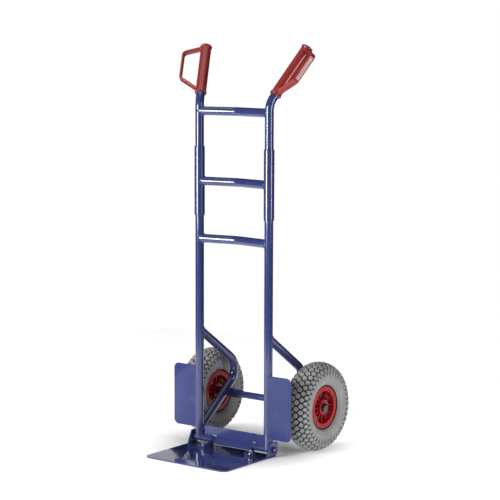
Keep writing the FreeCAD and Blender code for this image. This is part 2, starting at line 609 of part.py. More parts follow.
GRIP_BORE_R = f"({TUBE_R} + Size.tube_fit)"
GRIP_R = f"({GRIP_BORE_R} + Size.grip_wall)"
FLANGE_R = f"({GRIP_R} + Size.grip_flange_rise)"
COLLAR_END = "(Size.grip_collar_width + Size.grip_flange_slope)"
FLANGE_END = "(Size.grip_length - 1)"
FLANGE_START = f"({FLANGE_END} - Size.grip_collar_width)"
DOME_TOP = f"({FLANGE_END} + Size.grip_dome_rise)"
GRIP_BORE = "(Size.handle_length - Size.grip_start + 1)"
LOW_SLOPE = "((Size.loop_low_corner - Size.loop_low_joint) / Size.loop_offset)"
HIGH_SLOPE = "((Size.loop_high_joint - Size.loop_high_corner) / Size.loop_offset)"


def loop_outline(body, name, outwards):
    """The knuckle guard's outer or inner line, half a strap away from its centre line."""
    shift = f"{outwards} * Size.loop_thickness / 2"
    bar = f"(Size.loop_offset + {shift})"
    low_shift = f"{shift} * sqrt(1 + {LOW_SLOPE}^2)"
    high_shift = f"{shift} * sqrt(1 + {HIGH_SLOPE}^2)"
    points = [("0", f"Size.loop_low_joint - {low_shift}"),
              (bar, f"Size.loop_low_joint + {LOW_SLOPE} * {bar} - {low_shift}"),
              (bar, f"Size.loop_high_joint - {HIGH_SLOPE} * {bar} + {high_shift}"),
              ("0", f"Size.loop_high_joint + {high_shift}")]
    return outline(body, name, "XZ_Plane", points)


def loop_solid(name, outwards, width):
    """The area inside one line of the knuckle guard, as thick as the given width."""
    body = doc.addObject("PartDesign::Body", name)
    feature = pad(body, loop_outline(body, f"{name}_line", outwards), width, f"-({width}) / 2")
    round_edges(body, feature, FreeCAD.Vector(0, 1, 0), lambda point: point.x > 1 + number(GRIP_R),
                f"Size.loop_corner_radius + {outwards} * Size.loop_thickness / 2")
    return body


for name, side in SIDES:
    sleeve = revolve(f"grip_{name}_sleeve", [
        (GRIP_BORE_R, "0"), (FLANGE_R, "0"), (FLANGE_R, "Size.grip_collar_width"),
        (GRIP_R, COLLAR_END), (GRIP_R, f"{FLANGE_START} - Size.grip_flange_slope"),
        (FLANGE_R, FLANGE_START), (FLANGE_R, FLANGE_END), (f"0.7 * {GRIP_R}", f"{DOME_TOP} - 1"),
        ("0", DOME_TOP), ("0", GRIP_BORE), (GRIP_BORE_R, GRIP_BORE)])
    outside = loop_solid(f"grip_{name}_loop_outside", "1", "Size.loop_width")
    inside = loop_solid(f"grip_{name}_loop_inside", "-1", "Size.loop_width + 2")
    core = cylinder(f"grip_{name}_core", f"{GRIP_BORE_R} + 1", "Size.grip_length + 20", z="-10")
    loop = cut(f"grip_{name}_loop", outside, [inside, core])
    grip = join(f"grip_{name}_moulding", [sleeve, loop])
    along = "Size.corner_height + Size.grip_start * cos(Size.handle_tilt)"
    out = "Size.grip_start * sin(Size.handle_tilt)"
    place(grip, f"{side} * ({RAIL_X} + {out} * sin(Size.handle_splay))",
          f"{RAIL_Y} + {out} * cos(Size.handle_splay)", along,
          f"{handle_turn(side)} * rotationy(Size.handle_tilt) * rotationz(-{side} * Size.guard_turn)")
    part(grip, f"grip_{name}")


# --- wheels ----------------------------------------------------------------------------------

FLANGE_RIM_R = "(Size.rim_flange_diameter / 2)"
SEAT_R = "(Size.rim_seat_diameter / 2)"
WELL_R = f"({SEAT_R} - Size.rim_wall)"
HALF_RIM = "(Size.rim_width / 2)"
HALF_HUB = "(Size.hub_width / 2)"
HUB_R = "(Size.hub_diameter / 2)"
BEARING_R = "(Size.axle_diameter / 2 + 2 * Size.running_gap + Size.roller_diameter)"
WHEEL_R = "(Size.wheel_diameter / 2)"
BELLY_R = f"({WHEEL_R} - Size.wheel_width * 0.47)"
WEB_TOP = "(2 * Size.rim_wall)"
SCREW_FACE = f"({WEB_TOP} + 2 * Size.rim_wall)"
TUBE_OUTER_R = f"({WHEEL_R} - Size.tyre_wall - 1)"
TUBE_INNER_R = f"({TUBE_OUTER_R} - 2 * ({WHEEL_R} - {BELLY_R} - Size.tyre_wall - 2.95))"
OUTER_ARC = range(-135, 136, 15)
INNER_ARC = range(125, -126, -25)
# The valve stem passes between the two tyre beads, beside the outer one.
VALVE_Z = f"({HALF_RIM} - 3 * Size.rim_wall - Size.valve_diameter / 2 - 0.3)"


def wheel_frame(side):
    """Base point and turn that put a wheel's own Z axis on the axle, pointing outboard."""
    return f"{side} * {WHEEL_X}", AXLE_Y, AXLE_Z, outboard(side)


def tyre_section():
    """The tyre's wall: an oval outside, a smaller oval inside, and a bead at each edge."""
    inset = "Size.tyre_wall"
    points = [(f"{BELLY_R} + ({WHEEL_R} - {BELLY_R}) * cos({angle})",
               f"Size.wheel_width / 2 * sin({angle})") for angle in OUTER_ARC]
    points += [(f"{FLANGE_RIM_R} + 0.3", f"{HALF_RIM} - Size.rim_wall - 0.3"),
               (SEAT_R, f"{HALF_RIM} - Size.rim_wall - 0.3"),
               (SEAT_R, f"{HALF_RIM} - 3 * Size.rim_wall"),
               (FLANGE_RIM_R, f"{HALF_RIM} - 3 * Size.rim_wall")]
    points += [(f"{BELLY_R} + ({WHEEL_R} - {BELLY_R} - {inset}) * cos({angle})",
                f"(Size.wheel_width / 2 - {inset}) * sin({angle})") for angle in INNER_ARC]
    points += [(FLANGE_RIM_R, f"3 * Size.rim_wall - {HALF_RIM}"),
               (SEAT_R, f"3 * Size.rim_wall - {HALF_RIM}"),
               (SEAT_R, f"Size.rim_wall + 0.3 - {HALF_RIM}"),
               (f"{FLANGE_RIM_R} + 0.3", f"Size.rim_wall + 0.3 - {HALF_RIM}")]
    return points


def rim_half(name):
    """One moulded half: hub, ribbed web, barrel and flange, with Z pointing away from the joint."""
    body = revolve(f"{name}_turned", [
        (BEARING_R, "0"), (HUB_R, "0"), (HUB_R, "Size.rim_wall"), (WELL_R, "Size.rim_wall"),
        (WELL_R, "0"), (SEAT_R, "0"), (SEAT_R, f"{HALF_RIM} - Size.rim_wall"),
        (FLANGE_RIM_R, f"{HALF_RIM} - Size.rim_wall"), (FLANGE_RIM_R, HALF_RIM),
        (WELL_R, HALF_RIM), (WELL_R, WEB_TOP), (HUB_R, WEB_TOP), (HUB_R, HALF_HUB),
        (BEARING_R, HALF_HUB)])
    rib = [(f"{HUB_R} - 1", "-Size.rib_thickness / 2"), (f"{WELL_R} + 1", "-Size.rib_thickness / 2"),
           (f"{WELL_R} + 1", "Size.rib_thickness / 2"), (f"{HUB_R} - 1", "Size.rib_thickness / 2")]
    rib_sketch = outline(body, f"{name}_rib", "XY_Plane", rib)
    rib_pad = pad(body, rib_sketch, "Size.rib_height", WEB_TOP)
    doc.recompute()
    pattern = body.newObject("PartDesign::PolarPattern", f"{name}_ribs")
    pattern.Originals = [rib_pad]
    pattern.Axis = (rib_sketch, ["N_Axis"])
    pattern.Angle = 360
    pattern.setExpression("Occurrences", "Size.rim_ribs")
    body.Tip = pattern
    doc.recompute()
    return body


def on_circle(diameter, angle):
    """A point on a circle round the wheel's axis, as expressions."""
    return f"({diameter}) / 2 * cos({angle})", f"({diameter}) / 2 * sin({angle})"


def screw_angles():
    """The rim screws are evenly spaced, clear of the valve at half a turn."""
    count = round(number("Size.rim_screw_count"))
    return [360 / count * (i + 0.5) for i in range(count)]


def rim_drilled(name, with_valve):
    """A rim half with its screw bosses and holes, and the valve's openings on the outer half."""
    bosses = []
    holes = []
    for i, angle in enumerate(screw_angles()):
        x, y = on_circle("Size.rim_screw_circle", angle)
        bosses.append(cylinder(f"{name}_boss_{i}", "Size.rim_screw_diameter",
                               f"{SCREW_FACE} - Size.rim_wall", x, y, "Size.rim_wall"))
        holes.append(cylinder(f"{name}_hole_{i}", "Size.rim_screw_diameter / 2 + Size.screw_gap",
                              SCREW_FACE + " + 2", x, y, "-1"))
    if with_valve:
        x, y = on_circle("Size.valve_circle", 180)
        holes.append(cylinder(f"{name}_valve_opening", "Size.valve_opening / 2", HALF_RIM,
                              x, y, "Size.rim_wall - 1"))
        holes.append(cylinder(f"{name}_valve_bore", "Size.valve_diameter / 2 + 0.3",
                              f"{SEAT_R} + 1 - Size.valve_circle / 2", f"-{SEAT_R} - 1", "0",
                              VALVE_Z, "rotationy(90)"))
    solid = join(f"{name}_with_bosses", [rim_half(name)] + bosses)
    return cut(f"{name}_drilled", solid, holes)


def tube_round(name, shrink):
    """The inner tube's round shape, made smaller all over by an amount."""
    shape = doc.addObject("Part::Torus", name)
    shape.setExpression("Radius1", f"({TUBE_OUTER_R} + {TUBE_INNER_R}) / 2")
    shape.setExpression("Radius2", f"({TUBE_OUTER_R} - {TUBE_INNER_R}) / 2 - {shrink}")
    return shape


for name, side in SIDES:
    x, y, z, turn = wheel_frame(side)
    # A half turn about the axle brings the valve, which lies on the wheel's -X side, to the top.
    valve_up = f"{turn} * rotationz({0 if side > 0 else 180})"

    tyre = revolve(f"tyre_{name}_section", tyre_section())
    part(place(tyre, x, y, z, turn), f"tyre_{name}")

    tube_outside = tube_round(f"inner_tube_{name}_outside", "0")
    tube_inside = tube_round(f"inner_tube_{name}_inside", "Size.tube_rubber")
    tube = cut(f"inner_tube_{name}_hollow", tube_outside, [tube_inside])
    part(place(tube, x, y, z, turn), f"inner_tube_{name}")

    outer_half = rim_drilled(f"rim_outer_{name}", True)
    part(place(outer_half, x, y, z, valve_up), f"rim_outer_{name}")
    inner_half = rim_drilled(f"rim_inner_{name}", False)
    part(place(inner_half, x, y, z, f"{valve_up} * rotationx(180)"), f"rim_inner_{name}")

    # The valve stem leaves the inner tube, passes through the rim's barrel and ends under its cap
    # in the middle of the round opening.
    cap_start = "(Size.valve_circle / 2 - Size.valve_cap_length / 2)"
    cap_end = "(Size.valve_circle / 2 + Size.valve_cap_length / 2)"
    stem = cylinder(f"valve_stem_{name}_rod", "Size.valve_diameter / 2",
                    f"{TUBE_INNER_R} + Size.valve_diameter - {cap_end}")
    cap = cylinder(f"valve_cap_{name}_rod", "Size.valve_diameter / 2 + 1", "Size.valve_cap_length")
    for rod, start in ((stem, cap_end), (cap, cap_start)):
        place(rod, f"{side} * ({WHEEL_X} + {VALVE_Z})", AXLE_Y, f"{AXLE_Z} + {start}")
    stem_seat = place(tube_round(f"valve_stem_{name}_seat", "0"), x, y, z, turn)
    part(cut(f"valve_stem_{name}_seated", stem, [stem_seat]), f"valve_stem_{name}")
    part(cap, f"valve_cap_{name}")

    screws = []
    nuts = []
    for i, angle in enumerate(screw_angles()):
        sx, sy = on_circle("Size.rim_screw_circle", angle)
        shank = cylinder(f"rim_screw_{name}_{i}_shank", "Size.rim_screw_diameter / 2",
                         f"2 * {SCREW_FACE} + 5", sx, sy, f"-{SCREW_FACE} - 5")
        head = cylinder(f"rim_screw_{name}_{i}_head", "0.9 * Size.rim_screw_diameter", "3",
                        sx, sy, SCREW_FACE)
        screws.append(join(f"rim_screw_{name}_{i}", [shank, head]))
        nuts.append(nut(f"rim_nut_{name}_{i}", "Size.rim_screw_diameter", "4", sx, sy,
                        f"-{SCREW_FACE} - 4"))
    part(place(group(f"rim_screws_{name}_set", screws), x, y, z, valve_up), f"rim_screws_{name}")
    part(place(group(f"rim_nuts_{name}_set", nuts), x, y, z, valve_up), f"rim_nuts_{name}")

    roller_circle = "(Size.axle_diameter + 2 * Size.running_gap + Size.roller_diameter)"
    cage_ring = ring(f"bearing_cage_{name}_ring", f"{BEARING_R} - 0.4",
                     "Size.axle_diameter / 2 + 0.4", "Size.bearing_length")
    pockets = []
    rollers = []
    count = round(number("Size.roller_count"))
    for i in range(count):
        rx, ry = on_circle(roller_circle, 360 / count * i)
        pockets.append(cylinder(f"bearing_pocket_{name}_{i}", "Size.roller_diameter / 2 + 0.15",
                                "Size.bearing_length - 6", rx, ry, "3"))
        rollers.append(cylinder(f"roller_{name}_{i}", "Size.roller_diameter / 2",
                                "Size.bearing_length - 7", rx, ry, "3.5"))
    cage = cut(f"bearing_cage_{name}_pocketed", cage_ring, pockets)
    bearing_x = f"{side} * ({WHEEL_X} - Size.bearing_length / 2)"
    part(place(cage, bearing_x, y, z, turn), f"bearing_cage_{name}")
    part(place(group(f"bearing_rollers_{name}_set", rollers), bearing_x, y, z, turn),
         f"bearing_rollers_{name}")

    spacer_start = f"({RAIL_X} + {TUBE_R} + 1)"
    spacer_end = f"({WHEEL_X} - {HALF_HUB} - Size.end_gap)"
    part(ring(f"wheel_spacer_{name}_ring", "Size.wheel_spacer_diameter / 2",
              "Size.axle_diameter / 2", f"{spacer_end} - {spacer_start}",
              f"{side} * {spacer_start}", y, z, turn), f"wheel_spacer_{name}")
    part(ring(f"hub_washer_{name}_ring", "Size.hub_cap_diameter / 2", "Size.axle_diameter / 2",
              "Size.hub_washer_thickness", f"{side} * ({HUB_FACE} + Size.end_gap)", y, z, turn),
         f"hub_washer_{name}")
    cap_r = "(Size.axle_diameter / 2)"
    hub_cap = revolve(f"hub_cap_{name}_pressed", [
        (cap_r, "0"), ("Size.hub_cap_diameter / 2", "0"), ("Size.hub_cap_diameter / 2", "1.2"),
        (f"{cap_r} + 1.2", "1.2"), (f"{cap_r} + 1.2", "Size.hub_cap_height - 2"),
        (f"0.75 * {cap_r}", "Size.hub_cap_height - 0.5"), ("0", "Size.hub_cap_height"),
        ("0", "Size.hub_cap_height - 1.2"), (f"0.7 * {cap_r}", "Size.hub_cap_height - 1.7"),
        (cap_r, "Size.hub_cap_height - 3")])
    part(place(hub_cap, f"{side} * {CAP_START}", y, z, turn), f"hub_cap_{name}")


# --- check every object and write one file for each node --------------------------------------

doc.recompute()
for item in doc.Objects:
    if "Invalid" in item.State or "Error" in item.State:
        raise RuntimeError(f"{item.Name} did not recompute: {item.State}")
names = [piece.Label for piece in parts]
if len(set(names)) != len(names):
    raise RuntimeError("two nodes share a name")
os.makedirs("parts", exist_ok=True)
for piece in parts:
    if piece.Shape.isNull() or not piece.Shape.isValid() or not piece.Shape.Solids:
        raise RuntimeError(f"{piece.Label} has no sound solid")
    piece.Shape.exportStep(os.path.join("parts", f"{piece.Label}.step"))
print(f"{len(parts)} nodes written")
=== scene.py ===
import math

import bmesh
import bpy
from mathutils import Matrix, Vector


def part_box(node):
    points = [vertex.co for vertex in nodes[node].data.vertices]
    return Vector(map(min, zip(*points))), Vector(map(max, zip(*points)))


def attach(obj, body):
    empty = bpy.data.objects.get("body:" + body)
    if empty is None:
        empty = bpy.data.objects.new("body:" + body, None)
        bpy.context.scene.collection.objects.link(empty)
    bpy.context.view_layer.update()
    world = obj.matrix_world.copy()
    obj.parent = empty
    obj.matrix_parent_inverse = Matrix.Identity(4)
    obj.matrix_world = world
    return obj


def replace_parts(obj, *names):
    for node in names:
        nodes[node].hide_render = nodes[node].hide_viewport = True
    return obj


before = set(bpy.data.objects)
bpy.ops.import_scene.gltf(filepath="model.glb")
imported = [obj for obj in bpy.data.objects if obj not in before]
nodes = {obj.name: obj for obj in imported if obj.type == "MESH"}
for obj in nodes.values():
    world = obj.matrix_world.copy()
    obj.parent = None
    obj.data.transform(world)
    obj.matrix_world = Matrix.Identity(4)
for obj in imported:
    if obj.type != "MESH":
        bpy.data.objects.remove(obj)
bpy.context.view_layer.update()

MM = 0.001
SIDES = (("left", -1), ("right", 1))


# ---------------------------------------------------------------------------------------------
# Rails, sleeves, crossbars, struts and axle: welded steel tube, blasted and powder coated blue
# after welding, so one skin of glossy paint covers tubes, beads and plates alike. The tubes
# themselves come from the frame; here they get their paint.
# ---------------------------------------------------------------------------------------------

PAINT_BLUE = (0.043, 0.056, 0.183, 1)
PAINT_BLUE_DEEP = (0.035, 0.047, 0.157, 1)
PAINT_SCUFF = (0.062, 0.077, 0.225, 1)


class Recipe:
    """A material being mixed: its nodes, its links and its shader."""

    def __init__(self, name):
        self.material = bpy.data.materials.new(name)
        self.material.use_nodes = True
        self.tree = self.material.node_tree
        self.shader = self.tree.nodes["Principled BSDF"]
        self.coordinates = self.node("ShaderNodeTexCoord")

    def node(self, kind, **values):
        made = self.tree.nodes.new(kind)
        for key, value in values.items():
            setattr(made, key, value)
        return made

    def link(self, output, target):
        self.tree.links.new(output, target)

    def noise(self, scale, detail=4.0, roughness=0.55, stretch=None):
        """Cloudy noise over the piece, in its own metres."""
        cloud = self.node("ShaderNodeTexNoise")
        cloud.inputs["Scale"].default_value = scale
        cloud.inputs["Detail"].default_value = detail
        cloud.inputs["Roughness"].default_value = roughness
        if stretch is None:
            self.link(self.coordinates.outputs["Object"], cloud.inputs["Vector"])
        else:
            mapping = self.node("ShaderNodeMapping")
            mapping.inputs["Scale"].default_value = stretch
            self.link(self.coordinates.outputs["Object"], mapping.inputs["Vector"])
            self.link(mapping.outputs["Vector"], cloud.inputs["Vector"])
        return cloud.outputs["Fac"]

    def ramp(self, source, stops, ease="LINEAR"):
        """Turns a grey value into colours or greys at the given stops."""
        band = self.node("ShaderNodeValToRGB")
        band.color_ramp.interpolation = ease
        points = band.color_ramp.elements
        while len(points) < len(stops):
            points.new(0.5)
        for point, (place, colour) in zip(points, stops):
            point.position = place
            point.color = colour if len(colour) == 4 else (*colour, 1)
        self.link(source, band.inputs["Fac"])
        return band.outputs["Color"]

    def span(self, source, low, high, from_low=0.3, from_high=0.7):
        """Stretches a grey value to the given range."""
        stretch = self.node("ShaderNodeMapRange")
        stretch.inputs["From Min"].default_value = from_low
        stretch.inputs["From Max"].default_value = from_high
        stretch.inputs["To Min"].default_value = low
        stretch.inputs["To Max"].default_value = high
        self.link(source, stretch.inputs["Value"])
        return stretch.outputs["Result"]

    def blend(self, factor, first, second, mode="MIX"):
        mixer = self.node("ShaderNodeMix", data_type="RGBA", blend_type=mode)
        self.link(factor, mixer.inputs["Factor"])
        for socket, value in ((mixer.inputs["A"], first), (mixer.inputs["B"], second)):
            if isinstance(value, tuple):
                socket.default_value = value
            else:
                self.link(value, socket)
        return mixer.outputs["Result"]

    def bumps(self, *layers):
        """Stacks bump layers, each a height and its depth in millimetres."""
        normal = None
        for height, depth in layers:
            bump = self.node("ShaderNodeBump")
            bump.inputs["Distance"].default_value = depth * MM
            bump.inputs["Strength"].default_value = 1.0
            self.link(height, bump.inputs["Height"])
            if normal is not None:
                self.link(normal, bump.inputs["Normal"])
            normal = bump.outputs["Normal"]
        self.link(normal, self.shader.inputs["Normal"])

    def finish(self, **sockets):
        """Sets the shader's sockets: numbers directly, anything else by a link."""
        for key, value in sockets.items():
            socket = self.shader.inputs[key.replace("_", " ")]
            if isinstance(value, (int, float, tuple)):
                socket.default_value = value
            else:
                self.link(value, socket)
        return self.material


def powder_coat(name, scuffs=0.0, roughest=0.2, gloss=0.6, shine=0.5):
    """Glossy blue powder coat: a faint orange peel, uneven shade, and scuffs where loads rub."""
    mix = Recipe(name)
    shade = mix.ramp(mix.noise(9.0, 3.0), [(0.3, PAINT_BLUE_DEEP), (0.7, PAINT_BLUE)])
    colour = shade
    rough = mix.span(mix.noise(60.0, 5.0), 0.4 * roughest, roughest)
    if scuffs:
        rubbed = mix.ramp(mix.noise(26.0, 9.0, 0.72, (0.5, 2.2, 1.0)),
                          [(0.60 - scuffs, (0, 0, 0)), (0.74, (1, 1, 1))])
        colour = mix.blend(rubbed, shade, PAINT_SCUFF)
        rough = mix.span(rubbed, 0.7 * roughest, 0.36, 0.0, 1.0)
    mix.bumps((mix.noise(420.0, 2.0), 0.018), (mix.noise(1900.0, 2.0), 0.006))
    return mix.finish(Base_Color=colour, Roughness=rough, Coat_Weight=gloss, Coat_Roughness=0.06,
                      Specular_IOR_Level=shine)


def dress(node_names, material):
    """Gives carried-over pieces of the frame their finish."""
    for node_name in node_names:
        mesh = nodes[node_name].data
        mesh.materials.clear()
        mesh.materials.append(material)


tube_paint = powder_coat("blue_powder_coat")
worn_paint = powder_coat("blue_powder_coat_scuffed", 0.05, gloss=0.03, shine=0.25)

painted_tubes = [f"{piece}_{side}" for side, _ in SIDES
                 for piece in ("lower_rail", "upper_rail", "joint_sleeve", "axle_strut",
                               "axle_collar", "hinge_barrel", "wheel_spacer")]
painted_tubes += ["crossbar_upper", "crossbar_middle", "crossbar_lower", "axle"]
dress(painted_tubes, tube_paint)


# ---------------------------------------------------------------------------------------------
# Weld beads: a rippled run of filler round every joint of the tubes, and straight runs where the
# flat plates meet them. Each bead lies in the corner between its two pieces, under the paint.
# ---------------------------------------------------------------------------------------------

BEAD = 2.3 * MM
RIPPLE = 3.2 * MM
RIPPLE_DEPTH = 0.16
BEAD_END = 0.35
BEAD_SIDES = 8
TUBE_R = (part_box("axle_strut_left")[1][0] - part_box("axle_strut_left")[0][0]) / 2
RAIL_X = (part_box("lower_rail_right")[0][0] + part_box("lower_rail_right")[1][0]) / 2
RAIL_Y = (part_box("lower_rail_right")[0][1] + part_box("lower_rail_right")[1][1]) / 2
SLEEVE_R = (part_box("joint_sleeve_right")[1][0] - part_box("joint_sleeve_right")[0][0]) / 2


def mesh_object(name, body, mesh_or_bmesh, material):
    """A new piece that rides on a body of the frame and takes the given finish."""
    mesh = mesh_or_bmesh
    if isinstance(mesh_or_bmesh, bmesh.types.BMesh):
        bmesh.ops.recalc_face_normals(mesh_or_bmesh, faces=mesh_or_bmesh.faces)
        mesh = bpy.data.meshes.new(name)
        mesh_or_bmesh.to_mesh(mesh)
        mesh_or_bmesh.free()
    piece = bpy.data.objects.new(name, mesh)
    bpy.context.scene.collection.objects.link(piece)
    for finish in (material if isinstance(material, (list, tuple)) else [material]):
        mesh.materials.append(finish)
    for face in mesh.polygons:
        face.use_smooth = True
    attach(piece, body)
    return piece


def run_bead(shape, points, closed, radius=BEAD):
    """Adds a rippled round bead along a line of points to a bmesh."""
    count = len(points)
    sides = BEAD_SIDES
    rings = []
    travelled = 0.0
    for i, point in enumerate(points):
        before = points[i - 1] if closed or i else points[0]
        after = points[(i + 1) % count] if closed or i < count - 1 else points[-1]
        along = (after - before).normalized()
        across = along.orthogonal().normalized()
        if rings:
            across = (last_across - along * last_across.dot(along)).normalized()
        last_across = across
        other = along.cross(across)
        if i:
            travelled += (point - points[i - 1]).length
        swell = 1 + RIPPLE_DEPTH * math.sin(2 * math.pi * travelled / RIPPLE)
        if not closed and i in (0, count - 1):
            swell = BEAD_END
        turns = [2 * math.pi * k / sides for k in range(sides)]
        rings.append([shape.verts.new(point + radius * swell * (across * math.cos(turn)
                                                                + other * math.sin(turn)))
                      for turn in turns])
    pairs = zip(rings, rings[1:] + rings[:1]) if closed else zip(rings, rings[1:])
    for first, second in pairs:
        offset = 0
        if closed and first is rings[-1]:
            offset = min(range(sides), key=lambda s: (first[0].co - second[s].co).length)
        for k in range(sides):
            shape.faces.new((first[k], first[(k + 1) % sides], second[(k + 1 + offset) % sides],
                             second[(k + offset) % sides]))
    if not closed:
        shape.faces.new(rings[0])
        shape.faces.new(list(reversed(rings[-1])))


def saddle_line(start, direction, tube_radius, post_radius, post_axis=Vector((0, 0, 1)), steps=96):
    """The closed line where a tube that leaves a post's centre line comes out of the post."""
    direction = direction.normalized()
    across = direction.cross(post_axis).normalized()
    other = direction.cross(across)
    flat = direction - post_axis * direction.dot(post_axis)
    line = []
    for i in range(steps):
        turn = 2 * math.pi * i / steps
        offset = tube_radius * (across * math.cos(turn) + other * math.sin(turn))
        flat_offset = offset - post_axis * offset.dot(post_axis)
        a = flat.length_squared
        b = 2 * flat.dot(flat_offset)
        c = flat_offset.length_squared - post_radius ** 2
        reach = (-b + math.sqrt(max(b * b - 4 * a * c, 0))) / (2 * a)
        line.append(start + direction * reach + offset)
    return line


bead_mesh = bmesh.new()
for level, post_radius in (("upper", TUBE_R), ("middle", SLEEVE_R), ("lower", TUBE_R)):
    low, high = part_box(f"crossbar_{level}")
    height = (low[2] + high[2]) / 2
    bow = high[1] - TUBE_R - RAIL_Y
    for _, side in SIDES:
        start = Vector((side * RAIL_X, RAIL_Y, height))
        towards = Vector((-side * RAIL_X, bow, 0))
        run_bead(bead_mesh, saddle_line(start, towards, TUBE_R, post_radius), True)

# The strut's centre line: where it meets the rail above and below, and its corner between.
STRUT_TOP = Vector((0, 0, 342.6 * MM))
STRUT_FOOT = Vector((0, 0, 44.7 * MM))
STRUT_CORNER = Vector((0, 200.9 * MM, 203.2 * MM))
axle_low, axle_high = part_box("axle")
AXLE_Y = (axle_low[1] + axle_high[1]) / 2
AXLE_Z = (axle_low[2] + axle_high[2]) / 2
AXLE_R = (axle_high[2] - axle_low[2]) / 2
GUARD_SEAM_INSET = 40 * MM
SEAM_LIFT = 0.6 * MM
GUARD_SEAM_LIFT = 0.4 * MM
SLEEVE_RING = 1.04 * TUBE_R
COLLAR_RING = 1.06 * AXLE_R
AXLE_SEAM_SHIFT = 7.15 * MM
KICK_EDGE = 33 * MM
KICK_PLATE_HALF = 1.5 * MM
KICK_SEAM = 2.2 * MM
KICK_SEAM_START = 4 * MM
KICK_SEAM_END = 2 * MM

for _, side in SIDES:
    rail = Vector((side * RAIL_X, RAIL_Y, 0))
    for end in (STRUT_TOP, STRUT_FOOT):
        run_bead(bead_mesh, saddle_line(rail + end, STRUT_CORNER - end, TUBE_R, TUBE_R), True)
    # Sleeve ends are welded to the rails all round.
    for sleeve_end in (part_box("joint_sleeve_right")[0][2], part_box("joint_sleeve_right")[1][2]):
        ring = [rail + Vector((SLEEVE_RING * math.cos(turn), SLEEVE_RING * math.sin(turn), sleeve_end))
                for turn in (2 * math.pi * i / 60 for i in range(60))]
        run_bead(bead_mesh, ring, True, BEAD * 0.75)
    # The collar's inner end is welded to the axle.
    collar_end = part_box("axle_collar_right")[0][0]
    ring = [Vector((side * collar_end, AXLE_Y + COLLAR_RING * math.cos(turn),
                    AXLE_Z + COLLAR_RING * math.sin(turn)))
            for turn in (2 * math.pi * i / 48 for i in range(48))]
    run_bead(bead_mesh, ring, True, BEAD * 0.8)
    # A short seam each side where the axle lies against the strut.
    along = (STRUT_CORNER - STRUT_FOOT).normalized()
    away = Vector((0, along.z, -along.y))
    touch = Vector((side * RAIL_X, AXLE_Y, AXLE_Z)) - away * AXLE_R
    for shift in (-AXLE_SEAM_SHIFT, AXLE_SEAM_SHIFT):
        seam = [touch + along * shift + Vector((reach * MM, 0, 0)) for reach in range(-11, 12, 2)]
        run_bead(bead_mesh, seam, False, BEAD)
    # The guard is welded to the rail's outer face by a long seam, front and back.
    guard_low, guard_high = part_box("wheel_guard_right")
    seam_low = guard_low[2] + GUARD_SEAM_INSET
    seam_length = guard_high[2] - GUARD_SEAM_INSET - seam_low
    for guard_y in (guard_low[1], guard_high[1]):
        reach = math.sqrt(max(TUBE_R ** 2 - (guard_y - RAIL_Y) ** 2, 0))
        seam = [rail + Vector((side * (reach + GUARD_SEAM_LIFT), guard_y - RAIL_Y,
                               seam_low + seam_length * i / 60))
                for i in range(61)]
        run_bead(bead_mesh, seam, False, BEAD * 0.7)
    # The rail's foot sits in a saddle weld on the hinge barrel.
    barrel_low, barrel_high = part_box("hinge_barrel_right")
    barrel_r = (barrel_high[2] - barrel_low[2]) / 2
    barrel_z = (barrel_high[2] + barrel_low[2]) / 2
    saddle = []
    for i in range(80):
        turn = 2 * math.pi * i / 80
        y = TUBE_R * math.sin(turn)
        lift = math.sqrt(max(barrel_r ** 2 - min(abs(y), barrel_r) ** 2, 0))
        saddle.append(rail + Vector((TUBE_R * math.cos(turn), y, barrel_z + lift)))
    run_bead(bead_mesh, saddle, True, BEAD * 0.9)
    # The kick plate's ends are welded to the rails.
    kick_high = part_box("kick_plate")[1]
    kick_y = kick_high[1]
    reach = math.sqrt(TUBE_R ** 2 - (kick_y - RAIL_Y) ** 2)
    seam_low = barrel_high[2] + KICK_SEAM_START
    seam_length = kick_high[2] - KICK_SEAM_END - seam_low
    seam = [rail + Vector((-side * (reach + SEAM_LIFT), kick_y - RAIL_Y, seam_low + seam_length * i / 14))
            for i in range(15)]
    run_bead(bead_mesh, seam, False, BEAD * 0.8)
    # A flat seam closes the slit between the barrel's top and the kick plate's lower edge.
    inner_end = barrel_low[0]
    seam = [Vector((side * (inner_end + (RAIL_X - TUBE_R - inner_end) * i / 24),
                    kick_y - KICK_PLATE_HALF, (barrel_high[2] + KICK_EDGE) / 2))
            for i in range(25)]
    run_bead(bead_mesh, seam, False, KICK_SEAM)

mesh_object("weld_beads", "frame", bead_mesh, tube_paint)


# ---------------------------------------------------------------------------------------------
# Wheel guards: flat steel plates with rounded outer corners and dressed edges, welded to the
# rails' outer faces, that keep loads and boots off the tyres. Painted with the frame.
# ---------------------------------------------------------------------------------------------

GUARD_CORNER = 15 * MM
PLATE_EDGE = 0.7 * MM


def rounded_outline(corners, radii, steps=9):
    """A flat outline whose corners are rounded by the given radii."""
    line = []
    count = len(corners)
    for i, (corner, radius) in enumerate(zip(corners, radii)):
        corner = Vector(corner)
        if radius == 0:
            line.append(corner)
            continue
        back = (Vector(corners[i - 1]) - corner).normalized()
        ahead = (Vector(corners[(i + 1) % count]) - corner).normalized()
        half = back.angle(ahead) / 2
        centre = corner + (back + ahead).normalized() * radius / math.sin(half)
        start = corner + back * radius / math.tan(half) - centre
        end = corner + ahead * radius / math.tan(half) - centre
        for k in range(steps + 1):
            line.append(centre + start.lerp(end, k / steps).normalized() * radius)
    return line


